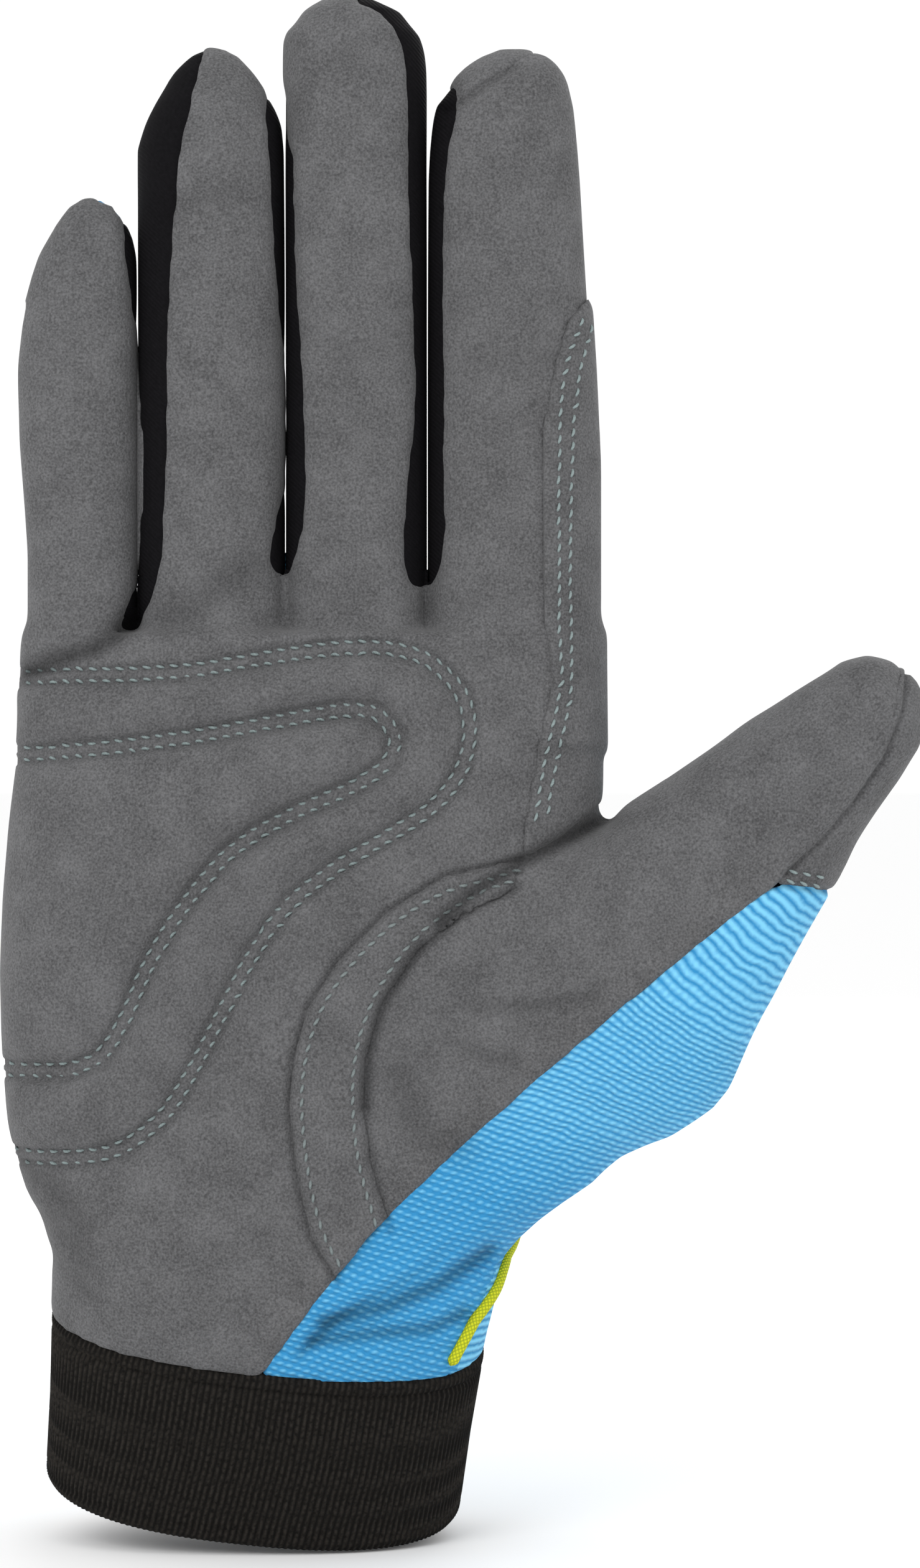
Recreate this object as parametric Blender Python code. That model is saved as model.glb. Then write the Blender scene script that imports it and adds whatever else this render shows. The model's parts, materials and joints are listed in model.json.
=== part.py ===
"""A right-hand full-finger sailing glove, filled out as worn, as the separate pieces it is sewn from.

Frame: +Z runs up the fingers, -Y is the palm side and +X the thumb side. The origin is the centre of
the cuff's mouth, where the wrist goes in. The cuff leans a little against the hand, so it has a frame
of its own, and so has the thumb. Lengths are in millimetres; a mesh is scaled to metres when it is made.

Every piece is a stretch of a layer. A layer is what lies between two nested hand shapes, and a region
is the box or outline that a piece is cut out with.
"""

import math

import bmesh
import bpy
from mathutils import Matrix, Vector

MM = 0.001
FAR = 300.0
VERY_FAR = 900.0
OVERLAP = 1.0
OBJECT_NAME = "sailing_glove"
SHARP_EDGE = math.radians(40)
JOINT_MARK_SIZE = 10.0

# Layers
WALL = 1.2
OVERLAY = 1.0
GAP = 0.3
HALF_GAP = GAP / 2
FOAM = 2.0
CUFF_WALL = 1.6
CUFF_LINING = 1.2
THINNEST = 0.2

# Cross-sections
ROUNDNESS = 2.4
HAND_SIDES = 26
THUMB_SIDES = 16
FINGER_SIDES = 16

# Cuff: rows of (height, left, right, front, back) along its own leaning axis
CUFF_LENGTH = 28.0
CUFF_LEAN_FORWARD = math.radians(16)
CUFF_LEAN_SIDEWAYS = math.radians(6)
CUFF_ROWS = [
    (-3.0, -33.7, 33.7, -24.2, 24.2),
    (14.0, -34.2, 34.2, -22.4, 22.4),
    (31.0, -35.2, 35.2, -20.6, 20.6),
]

# Hand without thumb and fingers: rows of (height, left, right, front, back)
HAND_ROWS = [
    (8.0, -33.3, 33.9, -24.8, 20.2),
    (20.0, -33.1, 35.9, -27.4, 16.0),
    (30.0, -32.6, 37.4, -29.0, 13.0),
    (36.0, -32.2, 39.6, -29.0, 11.8),
    (42.0, -33.8, 43.4, -28.8, 10.8),
    (48.0, -35.8, 50.0, -28.2, 10.2),
    (54.0, -37.8, 58.0, -27.8, 9.8),
    (60.0, -39.1, 65.0, -27.5, 9.5),
    (72.0, -40.0, 70.0, -27.2, 9.2),
    (84.0, -40.3, 67.0, -26.8, 9.0),
    (96.0, -39.8, 61.0, -26.2, 8.6),
    (108.0, -38.8, 56.0, -25.4, 8.0),
    (120.0, -37.3, 55.5, -24.0, 7.0),
    (132.0, -36.6, 55.3, -22.2, 5.8),
    (142.0, -35.3, 55.2, -20.4, 4.0),
    (150.0, -35.2, 55.2, -19.4, 3.0),
]
# Where the hand ends at the roots of the fingers, as seen from the palm
CROWN = [(-60.0, 139.0), (-18.2, 140.8), (-6.0, 147.0), (5.5, 148.6), (28.4, 146.5), (70.0, 145.0)]

# Fingers: rows of (height, left, right). Depth follows width, and the tip bends a little to the palm
FINGER_CENTRE_Y = -8.5
FINGER_CURL = 3.0
HINGE_Y = -11.5
KNUCKLE_BEND = math.radians(80)
MIDDLE_BEND = math.radians(90)
WEDGE_MARGIN = math.radians(1.5)
FRONT_SEAM_Y = -12.0
BACK_SEAM_Y = -5.5
FINGERS = {
    "little": {
        "knuckle": 150.0,
        "middle": 173.0,
        "depth": 0.92,
        "gussets": ("right",),
        "rows": [
            (125.0, -35.0, -19.5),
            (141.0, -35.1, -18.5),
            (155.0, -35.9, -18.5),
            (168.0, -36.9, -18.5),
            (180.0, -37.2, -18.5),
            (192.0, -35.8, -18.6),
            (198.0, -33.8, -18.8),
            (203.7, -30.4, -19.9),
            (206.2, -28.4, -22.2),
            (207.3, -26.4, -24.4),
        ],
    },
    "ring": {
        "knuckle": 157.5,
        "middle": 183.5,
        "depth": 0.88,
        "gussets": ("left", "right"),
        "rows": [
            (125.0, -16.5, 4.4),
            (141.0, -17.7, 5.2),
            (165.0, -17.8, 5.2),
            (195.0, -18.0, 5.1),
            (210.0, -18.2, 4.9),
            (216.0, -17.7, 4.8),
            (221.7, -15.9, 4.2),
            (227.7, -12.4, 0.0),
            (230.4, -9.2, -2.9),
            (231.4, -7.2, -5.2),
        ],
    },
    "middle": {
        "knuckle": 158.0,
        "middle": 187.5,
        "depth": 0.90,
        "gussets": ("left", "right"),
        "rows": [
            (125.0, 6.5, 27.4),
            (148.0, 5.9, 28.0),
            (170.0, 6.0, 28.0),
            (195.0, 5.8, 28.0),
            (212.0, 5.6, 27.8),
            (226.0, 5.6, 28.0),
            (233.0, 6.0, 27.1),
            (237.0, 8.6, 24.4),
            (239.2, 12.2, 19.8),
            (239.9, 14.4, 16.8),
        ],
    },
    "index": {
        "knuckle": 156.0,
        "middle": 183.5,
        "depth": 0.80,
        "gussets": ("left",),
        "rows": [
            (125.0, 29.4, 54.4),
            (147.0, 28.6, 55.2),
            (165.0, 28.6, 55.2),
            (180.0, 28.6, 54.5),
            (197.0, 28.8, 53.4),
            (212.0, 29.0, 52.5),
            (221.7, 29.7, 51.6),
            (227.0, 33.2, 50.3),
            (229.8, 37.2, 47.6),
            (230.8, 40.2, 44.0),
        ],
    },
}
INDEX_CAP_HEIGHT = 214.0
SLITS = {
    "little_ring": (-18.15, 140.8, 157.5),
    "ring_middle": (5.5, 148.6, 158.0),
    "middle_index": (28.3, 146.5, 158.0),
}
SLIT_REACH = 3.4
SLIT_DEPTH = 3.6

# Thumb, along its own axis: rows of (height, left, right, front, back)
THUMB_ROOT = (59.6, 0.0, 83.7)
THUMB_RISE = math.radians(42)
THUMB_KNUCKLE = 16.0
THUMB_MIDDLE = 38.0
THUMB_KNUCKLE_BEND = math.radians(25)
THUMB_MIDDLE_BEND = math.radians(50)
THUMB_HINGE_Y = -17.0
THUMB_SEAM_Y = -12.0
THUMB_SEAM_X = 5.0
THUMB_CAP_HEIGHT = 48.0
THUMB_ROWS = [
    (-22.0, -13.0, 20.0, -24.0, 5.0),
    (-12.0, -16.0, 24.0, -26.0, 5.0),
    (-2.0, -19.0, 25.4, -27.0, 5.0),
    (8.0, -20.3, 21.9, -27.0, 4.0),
    (16.0, -19.7, 18.9, -27.0, 2.0),
    (24.0, -18.6, 16.0, -26.6, 0.0),
    (32.0, -17.4, 13.1, -26.5, -1.5),
    (40.0, -16.3, 9.9, -26.6, -3.0),
    (48.0, -15.2, 7.6, -27.0, -5.0),
    (54.0, -14.3, 6.3, -27.0, -6.4),
    (59.0, -13.4, 4.6, -26.6, -7.8),
    (62.6, -11.2, 2.2, -24.0, -10.8),
    (64.6, -8.0, -0.6, -21.0, -13.8),
    (65.4, -5.6, -2.8, -18.6, -16.2),
]

# Outlines on the hand, as (x, z) seen from the palm
OUTER_PAD = [(-60.0, 131.1), (-11.0, 131.5), (13.0, 135.5), (28.0, 134.0), (35.0, 127.0), (34.0, 115.6),
             (21.0, 104.9), (5.0, 94.8), (-5.0, 77.6), (-14.0, 60.8), (-21.0, 55.1), (-60.0, 52.0)]
INNER_PAD = [(-60.0, 118.5), (-21.0, 119.7), (14.0, 125.8), (22.6, 124.4), (22.6, 117.5), (1.0, 106.0),
             (-13.0, 91.0), (-21.0, 74.0), (-28.0, 68.0), (-60.0, 67.0)]
PAD_EDGE_Y = -8.0
THUMB_BAND = [(43.0, 101.8), (31.0, 99.0), (21.7, 93.3), (13.9, 85.4), (8.0, 75.0), (6.0, 61.8), (7.5, 49.7),
              (12.6, 35.0), (22.4, 43.2), (19.2, 53.3), (18.2, 64.0), (20.6, 77.5), (26.7, 86.8), (36.0, 94.0)]
INDEX_STRIP = [(47.0, 113.0), (48.2, 127.0), (46.8, 135.0), (46.8, 165.0), (49.0, 186.0), (52.0, 194.0),
               (80.0, 194.0), (80.0, 113.0)]
STRIP_EDGE_Y = -5.0
BACK_ZONE = [(-80.0, -40.0), (90.0, -40.0), (90.0, 44.0), (43.0, 46.0), (45.0, 70.0), (50.0, 92.0),
             (55.4, 104.0), (56.4, 112.0), (80.0, 140.0), (80.0, 220.0), (-80.0, 220.0)]
PIPING_FRONT = [(31.4, 12.0), (33.6, 12.0), (41.2, 39.6), (46.0, 44.2), (90.0, 44.2), (90.0, 47.4), (44.4, 47.4),
                (39.0, 41.4)]
PIPING_BACK = [(85.0, 44.6), (85.0, 47.0), (44.6, 47.0), (46.4, 69.6), (51.2, 91.2), (56.6, 103.2),
               (54.4, 104.6), (48.8, 92.6), (43.8, 70.4), (41.6, 44.6)]
PIPING_SPLIT_Y = -11.0

MATERIALS = {
    "grey_suede": ((0.125, 0.125, 0.129), 0.95),
    "blue_knit": ((0.113, 0.462, 0.776), 0.8),
    "black_stretch": ((0.012, 0.012, 0.013), 0.85),
    "black_elastic": ((0.016, 0.015, 0.014), 0.8),
    "yellow_piping": ((0.61, 0.68, 0.02), 0.7),
    "foam": ((0.6, 0.6, 0.58), 0.95),
}


def clear_scene():
    for thing in list(bpy.data.objects):
        bpy.data.objects.remove(thing)


def new_material(name):
    colour, roughness = MATERIALS[name]
    material = bpy.data.materials.new(name)
    material.use_nodes = True
    shader = material.node_tree.nodes["Principled BSDF"]
    shader.inputs["Base Color"].default_value = (*colour, 1.0)
    shader.inputs["Roughness"].default_value = roughness
    shader.inputs["Metallic"].default_value = 0.0
    material.diffuse_color = (*colour, 1.0)
    return material


# Frames


def cuff_frame():
    sideways = Matrix.Rotation(CUFF_LEAN_SIDEWAYS, 4, "Y")
    return sideways @ Matrix.Rotation(CUFF_LEAN_FORWARD, 4, "X")


def thumb_frame():
    """Local Z along the thumb and local Y as the hand's, so the thumb too bends about its local X."""
    turn = Matrix.Rotation(math.pi / 2 - THUMB_RISE, 4, "Y")
    return Matrix.Translation(Vector(THUMB_ROOT)) @ turn


HAND_FRAME = Matrix.Identity(4)
CUFF_FRAME = cuff_frame()
THUMB_FRAME = thumb_frame()


# Solids


def object_from(mesh_builder, frame):
    """An object whose mesh holds the builder's shape, placed by the frame and scaled to metres."""
    mesh_builder.transform(frame)
    mesh_builder.transform(Matrix.Scale(MM, 4))
    bmesh.ops.recalc_face_normals(mesh_builder, faces=mesh_builder.faces)
    mesh = bpy.data.meshes.new("solid")
    mesh_builder.to_mesh(mesh)
    mesh_builder.free()
    made = bpy.data.objects.new("solid", mesh)
    bpy.context.scene.collection.objects.link(made)
    return made


def signed_power(value, power):
    return math.copysign(abs(value) ** power, value)


def section_points(row, sides):
    """The points of one rounded cross-section, a superellipse that fills the row's rectangle."""
    height, left, right, front, back = row
    for i in range(sides):
        angle = math.tau * (i + 0.5) / sides
        x = (left + right) / 2 + (right - left) / 2 * signed_power(math.cos(angle), 2 / ROUNDNESS)
        y = (front + back) / 2 + (back - front) / 2 * signed_power(math.sin(angle), 2 / ROUNDNESS)
        yield x, y, height


def loft(rows, sides, frame=HAND_FRAME):
    """A closed solid through cross-sections of unlike sizes."""
    shape = bmesh.new()
    rings = [[shape.verts.new(point) for point in section_points(row, sides)] for row in rows]
    for low, high in zip(rings, rings[1:]):
        for i in range(sides):
            j = (i + 1) % sides
            shape.faces.new((low[i], low[j], high[j], high[i]))
    shape.faces.new(rings[0])
    shape.faces.new(rings[-1])
    return object_from(shape, frame)


def box(x=(-FAR, FAR), y=(-FAR, FAR), z=(-FAR, FAR), frame=HAND_FRAME):
    shape = bmesh.new()
    size = Matrix.Diagonal((x[1] - x[0], y[1] - y[0], z[1] - z[0], 1.0))
    centre = Matrix.Translation(((x[0] + x[1]) / 2, (y[0] + y[1]) / 2, (z[0] + z[1]) / 2))
    bmesh.ops.create_cube(shape, size=1.0, matrix=centre @ size)
    return object_from(shape, frame)


def extruded(points, direction, frame):
    shape = bmesh.new()
    outline = shape.faces.new([shape.verts.new(point) for point in points])
    grown = bmesh.ops.extrude_face_region(shape, geom=[outline])["geom"]
    moved = [item for item in grown if isinstance(item, bmesh.types.BMVert)]
    bmesh.ops.translate(shape, verts=moved, vec=direction)
    return object_from(shape, frame)


def slab(outline, near=-FAR, far=FAR):
    """The outline, drawn as (x, z), extruded along Y from near to far."""
    return extruded([(x, near, z) for x, z in outline], (0.0, far - near, 0.0), HAND_FRAME)


def side_slab(outline, frame):
    """The outline, drawn as (y, z), extruded along X right through."""
    return extruded([(-FAR, y, z) for y, z in outline], (2 * FAR, 0.0, 0.0), frame)


def boolean(target, tool, operation):
    """Cuts or joins the target with the tool, which is used up."""
    modifier = target.modifiers.new(operation, "BOOLEAN")
    modifier.operation = operation
    modifier.solver = "EXACT"
    modifier.object = tool
    evaluated = target.evaluated_get(bpy.context.evaluated_depsgraph_get())
    result = bpy.data.meshes.new_from_object(evaluated)
    target.modifiers.clear()
    target.data = result
    bpy.data.objects.remove(tool)
    return target


def join(target, *tools):
    for tool in tools:
        boolean(target, tool, "UNION")
    return target


def cut(target, *tools):
    for tool in tools:
        boolean(target, tool, "DIFFERENCE")
    return target


def keep(target, *tools):
    for tool in tools:
        boolean(target, tool, "INTERSECT")
    return target


def copy_of(source):
    copied = source.copy()
    copied.data = source.data.copy()
    bpy.context.scene.collection.objects.link(copied)
    return copied


def layer(shape, outside, inside):
    """What lies between the shape set in by `outside` and the shape set in by `inside`."""
    return cut(shape(outside, True), shape(inside, False))


# Rows, outlines and regions


def inset(rows, by, drop=0.0):
    """The rows with every wall moved in by this much, or out where it is less than 0, and lowered by drop."""
    made = []
    for height, left, right, front, back in rows:
        half_width = max((right - left) / 2 - by, THINNEST)
        half_depth = max((back - front) / 2 - by, THINNEST)
        x = (left + right) / 2
        y = (front + back) / 2
        made.append((height - drop, x - half_width, x + half_width, y - half_depth, y + half_depth))
    return made


def grown(outline, by):
    """The outline with every edge moved outwards by this much, or inwards where it is less than 0."""
    points = [Vector(point) for point in outline]
    ends = list(zip(points, points[1:] + points[:1]))
    area = sum(a.x * b.y - a.y * b.x for a, b in ends)
    turn = math.copysign(1.0, area)
    normals = [Vector((b.y - a.y, a.x - b.x)).normalized() * turn for a, b in ends]
    made = []
    for i, point in enumerate(points):
        mitre = (normals[i - 1] + normals[i]) / (1 + normals[i - 1].dot(normals[i]))
        made.append(tuple(point + mitre * by))
    return made


def finger_rows(finger):
    """A finger's rows with the front and back that its width and curl give them."""
    rows = FINGERS[finger]["rows"]
    root, tip = rows[0][0], rows[-1][0]
    made = []
    for height, left, right in rows:
        y = FINGER_CENTRE_Y - FINGER_CURL * ((height - root) / (tip - root)) ** 2
        half_depth = FINGERS[finger]["depth"] * (right - left) / 2
        made.append((height, left, right, y - half_depth, y + half_depth))
    return made


def wedge_edge(hinge_height, hinge_y, bend, side):
    """The (y, z) line that a segment ends on at a hinge: level behind the axis, and in front of it drawn
    back by half the bend, so that the segments close on each other like a book. side is 1 above the
    hinge and -1 below it."""
    draw_back = math.tan(bend / 2 + WEDGE_MARGIN) * (FAR + hinge_y)
    return [
        (FAR, hinge_height + side * HALF_GAP),
        (hinge_y, hinge_height + side * HALF_GAP),
        (-FAR, hinge_height + side * (HALF_GAP + draw_back)),
    ]


def below_hinge(height, hinge_y, bend, frame=HAND_FRAME):
    corners = [(-FAR, -VERY_FAR), (FAR, -VERY_FAR)]
    return side_slab(wedge_edge(height, hinge_y, bend, -1) + corners, frame)


def above_hinge(height, hinge_y, bend, frame=HAND_FRAME):
    corners = [(-FAR, VERY_FAR), (FAR, VERY_FAR)]
    return side_slab(wedge_edge(height, hinge_y, bend, 1) + corners, frame)


# Nested hand shapes


def palm_solid(by):
    crown = [(x, z - by) for x, z in CROWN]
    corners = [(CROWN[-1][0], -FAR), (CROWN[0][0], -FAR)]
    return keep(loft(inset(HAND_ROWS, by), HAND_SIDES), slab(crown + corners))


def finger_solid(finger, by):
    return loft(inset(finger_rows(finger), by, drop=by), FINGER_SIDES)


def thumb_solid(by):
    return loft(inset(THUMB_ROWS, by, drop=by), THUMB_SIDES, THUMB_FRAME)


def hand_solid(by, ends):
    """The hand with the roots of the thumb and fingers, which stop at their hinges where `ends` is true."""
    thumb = thumb_solid(by)
    if ends:
        keep(thumb, below_hinge(THUMB_KNUCKLE, THUMB_HINGE_Y, THUMB_KNUCKLE_BEND, THUMB_FRAME))
    hand = join(palm_solid(by), thumb)
    for name, finger in FINGERS.items():
        root = finger_solid(name, by)
        if ends:
            keep(root, below_hinge(finger["knuckle"], HINGE_Y, KNUCKLE_BEND))
        join(hand, root)
    return hand


def hand_layer(outside, inside):
    above_cuff = box(z=(CUFF_LENGTH + HALF_GAP, VERY_FAR), frame=CUFF_FRAME)
    return keep(layer(hand_solid, outside, inside), above_cuff)


def finger_layer(finger, outside, inside):
    return cut(finger_solid(finger, outside), finger_solid(finger, inside))


# Naming, materials and joints


class Assembly:
    """The finished pieces, in one collection, each with its material and the empty of its joint."""

    def __init__(self):
        self.collection = bpy.data.collections.new(OBJECT_NAME)
        bpy.context.scene.collection.children.link(self.collection)
        self.materials = {name: new_material(name) for name in MATERIALS}

    def joint(self, name, location, parent=None):
        empty = bpy.data.objects.new(name, None)
        empty.empty_display_size = JOINT_MARK_SIZE * MM
        self.collection.objects.link(empty)
        empty.location = location
        if parent:
            self.attach(empty, parent)
        return empty

    def attach(self, child, parent):
        bpy.context.view_layer.update()
        child.parent = parent
        child.matrix_parent_inverse = parent.matrix_world.inverted()

    def add(self, name, piece, material, joint=None):
        piece.name = name
        piece.data.name = name
        piece.data.materials.clear()
        piece.data.materials.append(self.materials[material])
        piece.data.shade_smooth()
        piece.data.set_sharp_from_angle(angle=SHARP_EDGE)
        for collection in list(piece.users_collection):
            collection.objects.unlink(piece)
        self.collection.objects.link(piece)
        if joint:
            self.attach(piece, joint)


# Sub-parts


def slit_box(slit, spare):
    """Round the bottom of the slit between two fingers, from seam to seam."""
    x, bottom, top = SLITS[slit]
    return box(
        x=(x - SLIT_REACH - spare, x + SLIT_REACH + spare),
        y=(FRONT_SEAM_Y + HALF_GAP - spare, BACK_SEAM_Y - HALF_GAP + spare),
        z=(bottom - SLIT_DEPTH - spare, top + spare),
    )


def palm_region():
    """In front of the back seam, and on the finger side of the seam that runs along the thumb."""
    return keep(
        box(y=(-FAR, BACK_SEAM_Y - HALF_GAP)),
        box(x=(-FAR, THUMB_SEAM_X - HALF_GAP), frame=THUMB_FRAME),
    )


def thumb_side_region():
    behind = box(y=(BACK_SEAM_Y + HALF_GAP, FAR))
    return join(behind, box(x=(THUMB_SEAM_X + HALF_GAP, FAR), frame=THUMB_FRAME))


def add_hand_skins(glove):
    skin = hand_layer(0.0, WALL)
    for slit in SLITS:
        crotch = keep(copy_of(skin), slit_box(slit, 0.0))
        glove.add(f"{slit}_crotch_gusset", crotch, "black_stretch")
    palm = keep(copy_of(skin), palm_region())
    cut(palm, *[slit_box(slit, GAP) for slit in SLITS])
    glove.add("palm_panel", palm, "grey_suede")
    side = keep(copy_of(skin), thumb_side_region())
    cut(side, slab(BACK_ZONE, near=BACK_SEAM_Y - HALF_GAP))
    glove.add("thumb_side_panel", side, "blue_knit")
    back = keep(skin, slab(grown(BACK_ZONE, -GAP), near=BACK_SEAM_Y + HALF_GAP))
    glove.add("back_panel", back, "blue_knit")


def add_overlays(glove):
    """Second layers of suede on the palm, and the piping."""
    cover = hand_layer(-GAP - OVERLAY, -GAP)
    band = keep(copy_of(cover), slab(THUMB_BAND, far=PAD_EDGE_Y))
    keep(band, box(x=(-FAR, THUMB_SEAM_X - HALF_GAP), frame=THUMB_FRAME))
    glove.add("thumb_root_reinforcement", band, "grey_suede")
    strip = keep(copy_of(cover), slab(INDEX_STRIP, far=STRIP_EDGE_Y))
    glove.add("index_side_reinforcement", strip, "grey_suede")
    route = slab(PIPING_FRONT, far=PIPING_SPLIT_Y)
    join(route, slab(PIPING_BACK, near=PIPING_SPLIT_Y - OVERLAP))
    glove.add("wrist_piping", keep(cover, route), "yellow_piping")


def add_pads(glove):
    """The two foam pads under the heel of the hand, one round the other."""
    depth = WALL + GAP
    foam = cut(palm_solid(depth), palm_solid(depth + FOAM))
    keep(foam, box(y=(-FAR, PAD_EDGE_Y)))
    inner = keep(copy_of(foam), slab(INNER_PAD))
    outer = keep(foam, slab(OUTER_PAD))
    cut(outer, slab(grown(INNER_PAD, GAP)))
    glove.add("heel_pad_inner", inner, "foam")
    glove.add("heel_pad_outer", outer, "foam")


def add_cuff(glove):
    length = (0.0, CUFF_LENGTH - HALF_GAP)

    def band(outside, inside):
        made = cut(
            loft(inset(CUFF_ROWS, outside), HAND_SIDES, CUFF_FRAME),
            loft(inset(CUFF_ROWS, inside), HAND_SIDES, CUFF_FRAME),
        )
        return keep(made, box(z=length, frame=CUFF_FRAME))

    glove.add("cuff_outer_layer", band(0.0, CUFF_WALL), "black_elastic")
    inner = CUFF_WALL + GAP
    glove.add("cuff_inner_layer", band(inner, inner + CUFF_LINING), "black_elastic")


def side_region(finger, side, edges):
    """The half of a finger on one side of its centre line, between two depths."""
    root = FINGERS[finger]["rows"][1]
    centre = (root[1] + root[2]) / 2
    reach = (-FAR, centre - HALF_GAP) if side == "left" else (centre + HALF_GAP, FAR)
    return box(x=reach, y=edges)


def front_region(finger):
    """Suede in front. On a side with no gusset it goes on round to the back seam."""
    region = box(y=(-FAR, FRONT_SEAM_Y - HALF_GAP))
    for side in ("left", "right"):
        if side not in FINGERS[finger]["gussets"]:
            join(region, side_region(finger, side, (FRONT_SEAM_Y - OVERLAP, BACK_SEAM_Y - HALF_GAP)))
    return region


def add_finger_segment(glove, finger, segment, skin, joint):
    name = f"{finger}_{segment}"
    glove.add(f"{name}_front", keep(copy_of(skin), front_region(finger)), "grey_suede", joint)
    for side in FINGERS[finger]["gussets"]:
        edges = (FRONT_SEAM_Y + HALF_GAP, BACK_SEAM_Y - HALF_GAP)
        gusset = keep(copy_of(skin), side_region(finger, side, edges))
        glove.add(f"{name}_gusset_{side}", gusset, "black_stretch", joint)
    back = keep(skin, box(y=(BACK_SEAM_Y + HALF_GAP, FAR)))
    if name == "index_tip":
        cap = keep(copy_of(back), box(z=(INDEX_CAP_HEIGHT + HALF_GAP, FAR)))
        glove.add("index_tip_cap", cap, "grey_suede", joint)
        keep(back, box(z=(-FAR, INDEX_CAP_HEIGHT - HALF_GAP)))
    glove.add(f"{name}_back", back, "blue_knit", joint)


def add_finger(glove, finger):
    facts = FINGERS[finger]
    root = facts["rows"][1]
    x = (root[1] + root[2]) / 2 * MM
    knuckle = glove.joint(f"{finger}_knuckle", (x, HINGE_Y * MM, facts["knuckle"] * MM))
    middle = glove.joint(f"{finger}_middle", (x, HINGE_Y * MM, facts["middle"] * MM), knuckle)

    def base_of(piece):
        keep(piece, above_hinge(facts["knuckle"], HINGE_Y, KNUCKLE_BEND))
        return keep(piece, below_hinge(facts["middle"], HINGE_Y, MIDDLE_BEND))

    skin = finger_layer(finger, 0.0, WALL)
    add_finger_segment(glove, finger, "base", base_of(copy_of(skin)), knuckle)
    tip = keep(skin, above_hinge(facts["middle"], HINGE_Y, MIDDLE_BEND))
    add_finger_segment(glove, finger, "tip", tip, middle)
    if finger == "index":
        cover = base_of(finger_layer(finger, -GAP - OVERLAY, -GAP))
        strip = keep(cover, slab(INDEX_STRIP, far=STRIP_EDGE_Y))
        glove.add("index_base_reinforcement", strip, "grey_suede", knuckle)


def thumb_joint(glove, name, height, parent=None):
    place = THUMB_FRAME @ Vector((0.0, THUMB_HINGE_Y, height))
    return glove.joint(name, place * MM, parent)


def add_thumb(glove):
    knuckle = thumb_joint(glove, "thumb_knuckle", THUMB_KNUCKLE)
    middle = thumb_joint(glove, "thumb_middle", THUMB_MIDDLE, knuckle)
    skin = cut(thumb_solid(0.0), thumb_solid(WALL))
    base = keep(copy_of(skin), above_hinge(THUMB_KNUCKLE, THUMB_HINGE_Y, THUMB_KNUCKLE_BEND, THUMB_FRAME))
    keep(base, below_hinge(THUMB_MIDDLE, THUMB_HINGE_Y, THUMB_MIDDLE_BEND, THUMB_FRAME))
    tip = keep(skin, above_hinge(THUMB_MIDDLE, THUMB_HINGE_Y, THUMB_MIDDLE_BEND, THUMB_FRAME))

    def front_box(spare):
        edge = THUMB_SEAM_X + spare
        return box(x=(-FAR, edge), y=(-FAR, THUMB_SEAM_Y + spare), frame=THUMB_FRAME)

    for segment, piece, joint in (("base", base, knuckle), ("tip", tip, middle)):
        front = keep(copy_of(piece), front_box(-HALF_GAP))
        glove.add(f"thumb_{segment}_front", front, "grey_suede", joint)
        cut(piece, front_box(HALF_GAP))
    glove.add("thumb_base_back", base, "blue_knit", knuckle)
    cap = keep(copy_of(tip), box(z=(THUMB_CAP_HEIGHT + HALF_GAP, FAR), frame=THUMB_FRAME))
    glove.add("thumb_tip_cap", cap, "grey_suede", middle)
    keep(tip, box(z=(-FAR, THUMB_CAP_HEIGHT - HALF_GAP), frame=THUMB_FRAME))
    glove.add("thumb_tip_back", tip, "blue_knit", middle)


def main():
    clear_scene()
    glove = Assembly()
    add_hand_skins(glove)
    add_overlays(glove)
    add_pads(glove)
    add_cuff(glove)
    for finger in FINGERS:
        add_finger(glove, finger)
    add_thumb(glove)


main()
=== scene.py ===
"""Looks of the sailing glove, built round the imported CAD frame.

Lengths are in millimetres in the frame of the part: +Z up the fingers, -Y the palm side, +X the thumb
side. Meshes are scaled to metres as they are made. The cloth is carved out of a distance field. The
field's sections are measured on the CAD nodes, and each piece is the layer of the field that its seams
bound, so pieces that meet in the glove meet here too.
"""

import json
import math

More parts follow.
